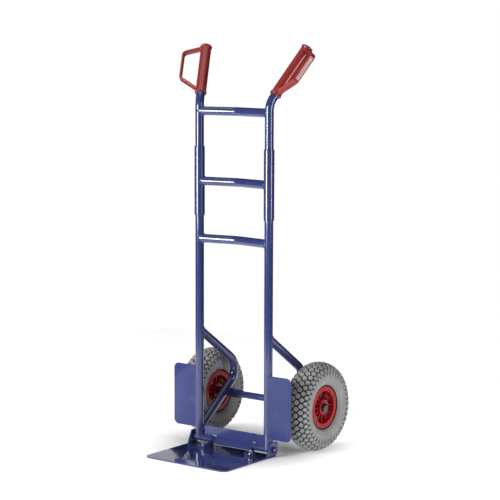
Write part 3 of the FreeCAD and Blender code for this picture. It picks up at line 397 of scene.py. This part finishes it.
def plate(outline, lower, upper, upright, edge=PLATE_EDGE):
    """A flat plate from an outline, with dressed edges.

    upright turns (x, y) of the outline and a height between lower and upper into a place."""
    shape = bmesh.new()
    floor_points = [shape.verts.new(upright(point.x, point.y, lower)) for point in outline]
    roof_points = [shape.verts.new(upright(point.x, point.y, upper)) for point in outline]
    shape.faces.new(floor_points)
    shape.faces.new(list(reversed(roof_points)))
    count = len(outline)
    for i in range(count):
        k = (i + 1) % count
        shape.faces.new((floor_points[i], floor_points[k], roof_points[k], roof_points[i]))
    rims = [e for e in shape.edges if len({v in floor_points for v in e.verts}) == 1]
    bmesh.ops.bevel(shape, geom=rims, offset=edge, segments=3, affect="EDGES", profile=0.5)
    return shape


def flat_shading(piece, angle=35):
    """Smooth shading that keeps edges sharper than the angle."""
    piece.data.set_sharp_from_angle(angle=math.radians(angle))
    return piece


for name, side in SIDES:
    low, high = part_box(f"wheel_guard_{name}")
    inner, outer = (low[0], high[0]) if side > 0 else (high[0], low[0])
    outline = rounded_outline([(inner, low[2]), (outer, low[2]), (outer, high[2]), (inner, high[2])],
                              [0, GUARD_CORNER, GUARD_CORNER, 0])
    shape = plate(outline, low[1], high[1], lambda x, z, y: (x, y, z))
    guard = mesh_object(f"guard_{name}", "frame", shape, worn_paint)
    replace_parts(flat_shading(guard), f"wheel_guard_{name}")
dress(["kick_plate"], tube_paint)


# ---------------------------------------------------------------------------------------------
# Toe plate: a polished-looking painted steel blade with rounded front corners, its two upright
# ears welded on at the back, and an angle bracket beside each barrel. It folds on the hinge.
# ---------------------------------------------------------------------------------------------

TOE_CORNER = 19 * MM
EAR_TOP_CORNER = 6 * MM
HEEL_REACH = 4 * MM
EAR_REACH = 34 * MM
EAR_CREST = 14 * MM
EAR_WELD_START = 31 * MM
EAR_WELD_LENGTH = 34 * MM
toe_low, toe_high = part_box("toe_plate")
BLADE_THICKNESS = 4 * MM
BLADE_EDGE = 0.9 * MM
pivot_y = RAIL_Y
heel = pivot_y + HEEL_REACH
toe_paint = powder_coat("toe_plate_paint", 0.04, 0.12)

blade_outline = rounded_outline([(toe_low[0], toe_low[1]), (toe_high[0], toe_low[1]),
                                 (toe_high[0], heel), (toe_low[0], heel)],
                                [TOE_CORNER, TOE_CORNER, 0, 0], 14)
toe_shape = plate(blade_outline, 0.0, BLADE_THICKNESS, lambda x, y, z: (x, y, z), BLADE_EDGE)
ear_radius = toe_high[1] - heel
ear_outline = rounded_outline([(pivot_y - EAR_REACH, 0.0), (toe_high[1], 0.0),
                               (toe_high[1], toe_high[2]), (pivot_y - EAR_CREST, toe_high[2])],
                              [0, ear_radius, EAR_TOP_CORNER, EAR_TOP_CORNER])
toe_mesh = bpy.data.meshes.new("toe_blade")
toe_shape.to_mesh(toe_mesh)
whole_toe = bmesh.new()
whole_toe.from_mesh(toe_mesh)
toe_shape.free()
for _, side in SIDES:
    outer = side * toe_high[0]
    inner = side * (toe_high[0] - BLADE_THICKNESS)
    ear = plate(ear_outline, min(outer, inner), max(outer, inner), lambda y, z, x: (x, y, z))
    ear_mesh = bpy.data.meshes.new("ear")
    ear.to_mesh(ear_mesh)
    ear.free()
    whole_toe.from_mesh(ear_mesh)
    bpy.data.meshes.remove(ear_mesh)
    corner_line = [Vector((inner - side * SEAM_LIFT, y, BLADE_THICKNESS + SEAM_LIFT))
                   for y in (pivot_y - EAR_WELD_START + EAR_WELD_LENGTH * i / 16 for i in range(17))]
    run_bead(whole_toe, corner_line, False, BEAD)
bpy.data.meshes.remove(toe_mesh)
toe = mesh_object("toe_blade_and_ears", "toe", whole_toe, toe_paint)
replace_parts(flat_shading(toe), "toe_plate")
dress(["hinge_bracket_left", "hinge_bracket_right"], worn_paint)


# ---------------------------------------------------------------------------------------------
# Hinge fasteners: chamfered hexagon nuts over thread ends, plain washers, and round-headed pivot
# bolts. The bracket's nuts, screws and washers are zinc plated, yellow-white and a little dull;
# the pivot's are painted over with the frame.
# ---------------------------------------------------------------------------------------------

ZINC = (0.62, 0.60, 0.55, 1)
ZINC_DARK = (0.36, 0.35, 0.33, 1)
THREAD_GAP = 0.1 * MM
NUT_FLATS = 1.6
NUT_HEIGHT = 0.8


def zinc_plate(name, clouded, bright):
    """Slightly clouded zinc over steel, with fine scratches."""
    mix = Recipe(name)
    colour = mix.ramp(mix.noise(160.0, 6.0), [(0.3, clouded), (0.65, bright)])
    rough = mix.span(mix.noise(320.0, 5.0), 0.22, 0.42)
    mix.bumps((mix.noise(900.0, 3.0, 0.6, (1, 1, 6)), 0.02))
    return mix.finish(Base_Color=colour, Roughness=rough, Metallic=1.0)


zinc = zinc_plate("zinc_plate", ZINC_DARK, ZINC)
dress(["bracket_screws", "bracket_washers"], zinc)
dress(["pivot_bolt_left", "pivot_bolt_right", "pivot_washers"], tube_paint)


def ring_of(shape, radius, height, place, count=48):
    """A ring of vertices at a height on a local axis, put in place by a matrix."""
    return [shape.verts.new(place @ Vector((radius * math.cos(2 * math.pi * k / count),
                                            radius * math.sin(2 * math.pi * k / count), height)))
            for k in range(count)]


def bridge(shape, first, second):
    count = len(first)
    for k in range(count):
        shape.faces.new((first[k], first[(k + 1) % count], second[(k + 1) % count], second[k]))


def lathe(shape, profile, place, count):
    """Turns a profile of (radius, height) pairs about the local Z axis; radius 0 is a pole."""
    rows = []
    for radius, height in profile:
        if radius == 0:
            rows.append([shape.verts.new(place @ Vector((0, 0, height)))])
        else:
            rows.append(ring_of(shape, radius, height, place, count))
    for first, second in zip(rows, rows[1:]):
        if len(first) == 1:
            for k in range(count):
                shape.faces.new((first[0], second[k], second[(k + 1) % count]))
        elif len(second) == 1:
            for k in range(count):
                shape.faces.new((first[k], second[0], first[(k + 1) % count]))
        else:
            bridge(shape, first, second)


def chamfered_nut(shape, place, flats, height, thread):
    """A hexagon nut with both faces chamfered to a cone, bored for its thread."""
    corner = flats / math.sqrt(3)
    count = 72
    rows = []
    for z, limit in ((0.0, 0.95 * flats / 2), (0.12 * height, corner), (0.88 * height, corner),
                     (height, 0.95 * flats / 2)):
        row = []
        for k in range(count):
            turn = 2 * math.pi * k / count
            in_sector = (turn + math.pi / 6) % (math.pi / 3) - math.pi / 6
            radius = min(flats / 2 / math.cos(in_sector), limit)
            row.append(shape.verts.new(place @ Vector((radius * math.cos(turn),
                                                       radius * math.sin(turn), z))))
        rows.append(row)
    bore_low = ring_of(shape, thread / 2 + THREAD_GAP, 0.0, place, count)
    bore_high = ring_of(shape, thread / 2 + THREAD_GAP, height, place, count)
    for first, second in zip([bore_low] + rows, rows + [bore_high]):
        bridge(shape, first, second)
    bridge(shape, bore_high, bore_low)


def nuts_over(name, node, finish, thread, places):
    """A pair of the toe plate's nuts of the usual width and height for their thread."""
    shape = bmesh.new()
    for place in places:
        chamfered_nut(shape, place, NUT_FLATS * thread, NUT_HEIGHT * thread, thread)
    slot_name, material = finish
    piece = mesh_object(name, "toe", shape, material)
    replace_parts(flat_shading(piece, 25), node)


PIVOT_THREAD = 10 * MM
SCREW_THREAD = 8 * MM
PIVOT_NUT_TURN = 0.2
BRACKET_NUT_TURN = 0.35
bracket_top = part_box("bracket_nuts")[0][2]
pivot_z = (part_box("pivot_washers")[0][2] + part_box("pivot_washers")[1][2]) / 2
screw_r = (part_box("bracket_screws")[1][1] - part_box("bracket_screws")[0][1]) / 2
screw_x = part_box("bracket_screws")[1][0] - screw_r
screw_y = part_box("bracket_screws")[0][1] + screw_r


def pointing(side):
    """Turns a local Z axis outboard."""
    return Matrix.Rotation(side * math.pi / 2, 4, "Y")


nut_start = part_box("pivot_washers")[1][0]
nuts_over("pivot_nut_pair", "pivot_nuts", ("blue_paint", tube_paint), PIVOT_THREAD,
          [Matrix.Translation((side * nut_start, pivot_y, pivot_z)) @ pointing(side)
           @ Matrix.Rotation(PIVOT_NUT_TURN, 4, "Z") for _, side in SIDES])
nuts_over("bracket_nut_pair", "bracket_nuts", ("zinc", zinc), SCREW_THREAD,
          [Matrix.Translation((side * screw_x, screw_y, bracket_top))
           @ Matrix.Rotation(BRACKET_NUT_TURN + side, 4, "Z") for _, side in SIDES])


# ---------------------------------------------------------------------------------------------
# Grips: one red injection moulding each, a sleeve with a collar, a domed and flanged end, and a
# flat strap that guards the knuckles. Pushed onto the handle tube; the plastic is glossy.
# ---------------------------------------------------------------------------------------------

GRIP_RED = (0.34, 0.034, 0.030, 1)
GRIP_RED_DEEP = (0.27, 0.024, 0.022, 1)
HANDLE_TILT = math.radians(37.2)
HANDLE_SPLAY = math.radians(28.9)
GUARD_TURN = math.radians(90)
GRIP_R = 15.5 * MM
GRIP_FLANGE_R = 17.5 * MM
GRIP_BORE_R = 12.7 * MM
GRIP_LENGTH = 168 * MM
GRIP_START = 28 * MM
GRIP_BORE = 159 * MM
BORE_START = -10 * MM
HANDLE_CORNER = 1010 * MM
LOOP_OFFSET = 65 * MM
LOOP_HEIGHTS = (5 * MM, 52 * MM, 142 * MM, 162 * MM)
LOOP_WIDTH = 20 * MM
LOOP_THICKNESS = 7 * MM
LOOP_CORNER = 13 * MM
GRIP_VOXEL = 0.7 * MM


def moulded_plastic(name, colour, deep, rough, gloss=0.25, shine=0.5):
    """Moulded plastic: even colour, faint flow marks, a fine spark-eroded grain."""
    mix = Recipe(name)
    shade = mix.ramp(mix.noise(14.0, 3.0), [(0.3, deep), (0.7, colour)])
    roughness = mix.span(mix.noise(70.0, 5.0), rough, rough + 0.12)
    mix.bumps((mix.noise(900.0, 2.0), 0.015), (mix.noise(2600.0, 2.0), 0.012))
    return mix.finish(Base_Color=shade, Roughness=roughness, Coat_Weight=gloss, Coat_Roughness=0.12,
                      Specular_IOR_Level=shine)


grip_plastic = moulded_plastic("red_grip_plastic", GRIP_RED, GRIP_RED_DEEP, 0.24)

GRIP_PROFILE = [(GRIP_BORE_R, 0.0), (GRIP_FLANGE_R - 0.8 * MM, 0.0), (GRIP_FLANGE_R, 0.8 * MM),
                (GRIP_FLANGE_R, 4.6 * MM), (GRIP_FLANGE_R - 0.8 * MM, 5.6 * MM),
                (GRIP_R + 0.2 * MM, 6.6 * MM), (GRIP_R, 8 * MM),
                (GRIP_R, GRIP_LENGTH - 10 * MM), (GRIP_R + 0.4 * MM, GRIP_LENGTH - 7.6 * MM),
                (GRIP_FLANGE_R - 0.5 * MM, GRIP_LENGTH - 6.4 * MM),
                (GRIP_FLANGE_R, GRIP_LENGTH - 5.4 * MM), (GRIP_FLANGE_R, GRIP_LENGTH - 2.2 * MM),
                (GRIP_FLANGE_R - 0.9 * MM, GRIP_LENGTH - 0.9 * MM),
                (GRIP_R - 2 * MM, GRIP_LENGTH + 1.0 * MM), (GRIP_R * 0.55, GRIP_LENGTH + 2.4 * MM),
                (0, GRIP_LENGTH + 3 * MM)]


def strap_path():
    """The knuckle guard's centre line in the grip's own frame: two legs and a bar."""
    low, low_corner, high_corner, high = LOOP_HEIGHTS
    corners = [(0, low), (LOOP_OFFSET, low_corner), (LOOP_OFFSET, high_corner), (0, high)]
    return rounded_outline(corners, [0, LOOP_CORNER, LOOP_CORNER, 0], 10)


def flattened(value):
    """Pushes a sine or cosine towards its ends, which squares a circle's corners."""
    return math.copysign(abs(value) ** 0.5, value)


def strap(shape):
    """Sweeps the strap's rounded oblong section along its path."""
    path = strap_path()
    turns = [2 * math.pi * k / 24 for k in range(24)]
    section = [(flattened(math.cos(turn)) * LOOP_THICKNESS / 2,
                flattened(math.sin(turn)) * LOOP_WIDTH / 2) for turn in turns]
    rows = []
    for i, point in enumerate(path):
        before = path[max(i - 1, 0)]
        after = path[min(i + 1, len(path) - 1)]
        along = (after - before).normalized()
        across = Vector((along.y, -along.x))
        rows.append([shape.verts.new((point.x + across.x * u, v, point.y + across.y * u))
                     for u, v in section])
    for first, second in zip(rows, rows[1:]):
        bridge(shape, first, second)
    shape.faces.new(rows[0])
    shape.faces.new(list(reversed(rows[-1])))


def grip_place(side):
    """The grip's own frame: Z along the sleeve from its collar, X towards the knuckle guard."""
    lean = (Matrix.Rotation(math.pi / 2 - side * HANDLE_SPLAY, 4, "Z")
            @ Matrix.Rotation(HANDLE_TILT, 4, "Y"))
    corner = Vector((side * RAIL_X, RAIL_Y, HANDLE_CORNER))
    collar = corner + lean @ Vector((0, 0, GRIP_START))
    return Matrix.Translation(collar) @ lean @ Matrix.Rotation(-side * GUARD_TURN, 4, "Z")


def apply_modifier(piece, kind, **settings):
    modifier = piece.modifiers.new(kind.lower(), kind)
    for key, value in settings.items():
        setattr(modifier, key, value)
    depsgraph = bpy.context.evaluated_depsgraph_get()
    mesh = bpy.data.meshes.new_from_object(piece.evaluated_get(depsgraph))
    piece.modifiers.clear()
    old = piece.data
    piece.data = mesh
    bpy.data.meshes.remove(old)


for name, side in SIDES:
    # Strap and sleeve are welded into one skin, then the tube's bore is cut clean again.
    place = grip_place(side)
    solid = bmesh.new()
    straight = Matrix.Identity(4)
    lathe(solid, [(0, 0.0)] + GRIP_PROFILE, straight, 72)
    strap(solid)
    grip = mesh_object(f"grip_moulding_{name}", "frame", solid, grip_plastic)
    apply_modifier(grip, "REMESH", mode="VOXEL", voxel_size=GRIP_VOXEL, use_smooth_shade=True)
    apply_modifier(grip, "SMOOTH", factor=0.5, iterations=14)
    bore = bmesh.new()
    lathe(bore, [(0, BORE_START), (GRIP_BORE_R, BORE_START), (GRIP_BORE_R, GRIP_BORE),
                 (0, GRIP_BORE)], straight, 72)
    bmesh.ops.recalc_face_normals(bore, faces=bore.faces)
    bore_mesh = bpy.data.meshes.new("bore")
    bore.to_mesh(bore_mesh)
    bore.free()
    cutter = bpy.data.objects.new("bore_cutter", bore_mesh)
    bpy.context.scene.collection.objects.link(cutter)
    apply_modifier(grip, "BOOLEAN", object=cutter, operation="DIFFERENCE", solver="EXACT")
    bpy.data.objects.remove(cutter)
    bpy.data.meshes.remove(bore_mesh)
    grip.data.transform(place)
    for face in grip.data.polygons:
        face.use_smooth = True
    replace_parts(flat_shading(grip, 60), f"grip_{name}")


# ---------------------------------------------------------------------------------------------
# Tyres: pneumatic, grey non-marking rubber with seven staggered rows of diamond blocks on a round
# carcass. Made of one skin, moulded with the blocks; the carcass between the blocks is painted near
# black, a painted shade in the grooves. The inner tube lies inside, and its valve stem comes out
# through the outer rim half.
# ---------------------------------------------------------------------------------------------

RUBBER = (0.29, 0.292, 0.290, 1)
RUBBER_DUSTY = (0.37, 0.37, 0.363, 1)
# Near black: painted shade for the carcass between the tread blocks.
GROOVE_PAINTED_SHADE = (0.020, 0.020, 0.020, 1)
TUBE_RUBBER = (0.022, 0.022, 0.023, 1)
CARCASS_R = 90.05 * MM
CARCASS_REACH = 35.2 * MM
CARCASS_HALF = 40.4 * MM
TYRE_WALL = 6 * MM
SIDE_RIBS = (1.72, 2.12)
LAST_ACROSS = math.radians(134)
TREAD_EDGE = 1.36
ROW_SPACING = 0.335
BLOCKS_AROUND = 41
BLOCK_HALF_ACROSS = 0.172
BLOCK_FILL = 0.70
LUG_START = 1.12
BLOCK_RISE = 4.7 * MM
wheel_x = (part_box("tyre_right")[0][0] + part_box("tyre_right")[1][0]) / 2


def rubber(name, colour, dusty, rough):
    """Moulded rubber: mould bloom and dust, fine pitting."""
    mix = Recipe(name)
    dust = mix.ramp(mix.noise(22.0, 8.0, 0.65), [(0.42, colour), (0.68, dusty)])
    roughness = mix.span(mix.noise(140.0, 5.0), rough, rough + 0.16)
    mix.bumps((mix.noise(700.0, 4.0), 0.05), (mix.noise(2400.0, 2.0), 0.02))
    return mix.finish(Base_Color=dust, Roughness=roughness, Specular_IOR_Level=0.35)


tread_rubber = rubber("tyre_rubber", RUBBER, RUBBER_DUSTY, 0.62)
# The grooves' rubber is a darkened copy of the tread rubber: painted shade between the blocks.
groove_painted_shade = rubber("tyre_grooves_painted_shade", GROOVE_PAINTED_SHADE, (0.028, 0.027, 0.026, 1), 0.8)
black_rubber = rubber("inner_tube_rubber", TUBE_RUBBER, (0.05, 0.05, 0.05, 1), 0.5)


def carcass_point(across, around, rise):
    """A place on the tyre: across is the angle from the crown, around the turn of the wheel."""
    sideways = (CARCASS_HALF + rise) * math.sin(across)
    radius = CARCASS_R + (CARCASS_REACH + rise) * math.cos(across)
    return Vector((sideways, radius * math.sin(around), radius * math.cos(around)))


def add_carcass(shape):
    """The tyre's body: outside from bead to bead, then back along the inside of its wall."""
    steps = 64
    count = 164
    angles = [LAST_ACROSS * (2 * i / steps - 1) for i in range(steps + 1)]
    rows = []
    for across in angles:
        ribbed = any(abs(abs(across) - rib) < 0.035 for rib in SIDE_RIBS)
        rise = 0.6 * MM if ribbed else 0.0
        rows.append([shape.verts.new(carcass_point(across, 2 * math.pi * k / count, rise))
                     for k in range(count)])
    for across in reversed(angles):
        rows.append([shape.verts.new(carcass_point(across, 2 * math.pi * k / count, -TYRE_WALL))
                     for k in range(count)])
    for i, (first, second) in enumerate(zip(rows, rows[1:] + rows[:1])):
        faces_before = len(shape.faces)
        bridge(shape, first, second)
        shape.faces.ensure_lookup_table()
        # Carcass faces in the tread take the near-black groove rubber, a painted shade.
        in_tread = i < steps and abs(angles[i]) < TREAD_EDGE
        for face in shape.faces[faces_before:]:
            face.material_index = 1 if in_tread else 0


def add_block(shape, across, around, half_around):
    """One diamond block with cut-off points, narrowing from its foot to its face."""
    corners = ((-1, 0.22), (-0.3, 1), (0.3, 1), (1, 0.22), (1, -0.22), (0.3, -1), (-0.3, -1),
               (-1, -0.22))
    layers = []
    for rise, scale in ((-1.0 * MM, 1.12), (0.86 * BLOCK_RISE, 0.98), (BLOCK_RISE, 0.90)):
        layers.append([shape.verts.new(carcass_point(across + BLOCK_HALF_ACROSS * scale * u,
                                                     around + half_around * scale * v, rise))
                       for u, v in corners])
    for first, second in zip(layers, layers[1:]):
        bridge(shape, first, second)
    centre = shape.verts.new(carcass_point(across, around, BLOCK_RISE))
    top = layers[-1]
    for k, point in enumerate(top):
        shape.faces.new((point, top[(k + 1) % len(top)], centre))
    shape.faces.new(list(reversed(layers[0])))


def add_shoulder_lug(shape, side, around, half_around):
    """A lug beside the outermost row that runs down the shoulder and fades into the side."""
    layers = []
    for rise, scale in ((-1.0 * MM, 1.08), (0.8 * BLOCK_RISE, 0.94)):
        line = []
        for across, share, width in ((LUG_START, 1.0, 0.4), (1.24, 0.95, 1.0), (1.40, 0.7, 1.0),
                                     (1.54, 0.2, 0.7)):
            lift = rise if rise < 0 else rise * share
            line.append((side * across, half_around * scale * width, lift))
        points = [carcass_point(across, around - half, lift) for across, half, lift in line]
        points += [carcass_point(across, around + half, lift) for across, half, lift in reversed(line)]
        layers.append([shape.verts.new(point) for point in points])
    bridge(shape, layers[0], layers[1])
    low, high = layers
    for k in range(3):
        shape.faces.new((high[k], high[k + 1], high[6 - k], high[7 - k]))
        shape.faces.new((low[7 - k], low[6 - k], low[k + 1], low[k]))


def tyre_mesh():
    shape = bmesh.new()
    add_carcass(shape)
    pitch = 2 * math.pi / BLOCKS_AROUND
    half_around = pitch / 2 * BLOCK_FILL
    for row in range(-3, 4):
        stagger = 0.5 * (row % 2)
        for k in range(BLOCKS_AROUND):
            add_block(shape, row * ROW_SPACING, (k + stagger) * pitch, half_around)
    for side in (-1, 1):
        for k in range(BLOCKS_AROUND):
            add_shoulder_lug(shape, side, k * pitch, half_around * 0.9)
    return shape


for name, side in SIDES:
    tyre_shape = tyre_mesh()
    hub = Matrix.Translation((side * wheel_x, AXLE_Y, AXLE_Z))
    bmesh.ops.transform(tyre_shape, matrix=hub, verts=tyre_shape.verts)
    tyre = mesh_object(f"tyre_moulding_{name}", f"wheel_{name}", tyre_shape,
                       [tread_rubber, groove_painted_shade])
    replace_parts(flat_shading(tyre, 28), f"tyre_{name}")
dress([f"{piece}_{side}" for side, _ in SIDES for piece in ("inner_tube", "valve_stem")],
      black_rubber)


# ---------------------------------------------------------------------------------------------
# Rims: two moulded halves a wheel in red polypropylene, ribbed, screwed together through their
# bosses, with a round opening for the valve in the outer half. The hub runs on a roller bearing.
# ---------------------------------------------------------------------------------------------

RIM_RED = (0.42, 0.022, 0.030, 1)
RIM_RED_DEEP = (0.32, 0.014, 0.021, 1)
BLACK = (0.016, 0.016, 0.017, 1)
BLACK_DEEP = (0.010, 0.010, 0.011, 1)
STEEL = (0.55, 0.56, 0.57, 1)
STEEL_SHADE = (0.40, 0.41, 0.42, 1)
# Zinc darkened far below the bracket's zinc for the wheel's hardware: a painted shade.
ZINC_PAINTED_SHADE = (0.17, 0.165, 0.155, 1)
ZINC_PAINTED_SHADE_DEEP = (0.06, 0.06, 0.058, 1)
rim_plastic = moulded_plastic("red_rim_plastic", RIM_RED, RIM_RED_DEEP, 0.30, gloss=0.02, shine=0.2)
black_moulding = moulded_plastic("black_plastic", BLACK, BLACK_DEEP, 0.36)
bearing_steel = zinc_plate("bearing_steel", STEEL_SHADE, STEEL)
zinc_with_painted_shade = zinc_plate("zinc_with_painted_shade", ZINC_PAINTED_SHADE_DEEP, ZINC_PAINTED_SHADE)
dress([f"{piece}_{side}" for side, _ in SIDES for piece in ("rim_outer", "rim_inner")],
      rim_plastic)
dress([f"{piece}_{side}" for side, _ in SIDES for piece in ("valve_cap", "bearing_cage")],
      black_moulding)
dress([f"bearing_rollers_{side}" for side, _ in SIDES], bearing_steel)
# The wheel's screws, nuts, washer and cap take the darkened zinc, a painted shade over the hub.
dress([f"{piece}_{side}" for side, _ in SIDES
       for piece in ("rim_screws", "rim_nuts", "hub_washer", "hub_cap")], zinc_with_painted_shade)


# ---------------------------------------------------------------------------------------------
# Studio: a white floor that glows, its glow faded round the hinge as a painted shadow, a white
# backdrop that neither lights the truck nor mirrors in it, and soft lamps: a tall one at the front
# and a narrow one at the side draw the bright lines on the tubes, one overhead fills, and a pale
# card behind mirrors in the toe plate.

FLOOR_SIZE = 3.0
# The painted contact shadow on the floor: where it is deepest, where it ends, and the glow inside it and
# beyond it.
PAINTED_SHADOW_REACH = 0.15
PAINTED_SHADOW_FADE_END = 0.34
PAINTED_SHADOW_GLOW = 0.04
FAR_GLOW = 0.62
FLOOR_WHITE = (0.93, 0.93, 0.93, 1)
FLOOR_GREY = (0.90, 0.90, 0.90, 1)
CAMERA_PLACE = Vector((3.00487, -3.94918, 1.20641))
CAMERA_TURN = 0.64365
CAMERA_DROP = 0.12467
CAMERA_ROLL = 0.00313
LENS_MM = 124.8

floor_mesh = bpy.data.meshes.new("studio_floor")
reach = FLOOR_SIZE / 2
floor_mesh.from_pydata([(-reach, -reach, 0), (reach, -reach, 0), (reach, reach, 0),
                        (-reach, reach, 0)], [], [(0, 1, 2, 3)])
floor_piece = bpy.data.objects.new("studio_floor", floor_mesh)
bpy.context.scene.collection.objects.link(floor_piece)
floor_mix = Recipe("studio_floor")
distance = floor_mix.node("ShaderNodeVectorMath", operation="LENGTH")
floor_mix.link(floor_mix.coordinates.outputs["Object"], distance.inputs[0])
# The floor's glow fades out round the hinge, a painted contact shadow, so that the gaps there stay dark.
glow_with_painted_shadow = floor_mix.span(distance.outputs["Value"], PAINTED_SHADOW_GLOW, FAR_GLOW, PAINTED_SHADOW_REACH,
                            PAINTED_SHADOW_FADE_END)
floor_piece.data.materials.append(floor_mix.finish(
    Base_Color=floor_mix.ramp(floor_mix.noise(0.7, 2.0), [(0.0, FLOOR_GREY), (1.0, FLOOR_WHITE)]),
    Roughness=0.9, Specular_IOR_Level=0.1, Emission_Color=(1, 1, 1, 1), Emission_Strength=glow_with_painted_shadow))

world = bpy.data.worlds.new("studio")
world.use_nodes = True
background = world.node_tree.nodes["Background"]
background.inputs["Color"].default_value = (1, 1, 1, 1)
background.inputs["Strength"].default_value = 1.0
world.cycles_visibility.glossy = False
world.cycles_visibility.diffuse = False
bpy.context.scene.world = world


def softbox(name, place, target, width, height, power):
    lamp = bpy.data.lights.new(name, "AREA")
    lamp.shape = "RECTANGLE"
    lamp.size = width
    lamp.size_y = height
    lamp.energy = power
    holder = bpy.data.objects.new(name, lamp)
    holder.location = place
    holder.rotation_euler = (Vector(target) - Vector(place)).to_track_quat("-Z", "Y").to_euler()
    holder.visible_camera = False
    bpy.context.scene.collection.objects.link(holder)


softbox("key_front_left", (-1.23, -3.38, 1.0), (0, 0, 0.7), 1.3, 1.5, 150)
softbox("strip_right", (3.0, 0.0, 1.2), (0, 0, 0.9), 0.6, 1.7, 40)
softbox("fill_over", (0.0, 0.2, 4.2), (0, 0, 0), 4.0, 4.0, 64)
softbox("card_behind_left", (-3.43, 3.05, 1.15), (-0.1, -0.1, 0), 1.2, 1.2, 2.9)

camera = bpy.data.cameras.new("studio_camera")
camera.lens = LENS_MM
camera.sensor_width = 36.0
camera.clip_start = 0.1
camera.clip_end = 200.0
camera_holder = bpy.data.objects.new("studio_camera", camera)
camera_holder.matrix_world = (Matrix.Translation(CAMERA_PLACE)
                              @ Matrix.Rotation(CAMERA_TURN, 4, "Z")
                              @ Matrix.Rotation(math.pi / 2 - CAMERA_DROP, 4, "X")
                              @ Matrix.Rotation(CAMERA_ROLL, 4, "Z"))
bpy.context.scene.collection.objects.link(camera_holder)
bpy.context.scene.camera = camera_holder
bpy.context.scene.view_settings.view_transform = "Standard"
bpy.context.scene.view_settings.look = "None"
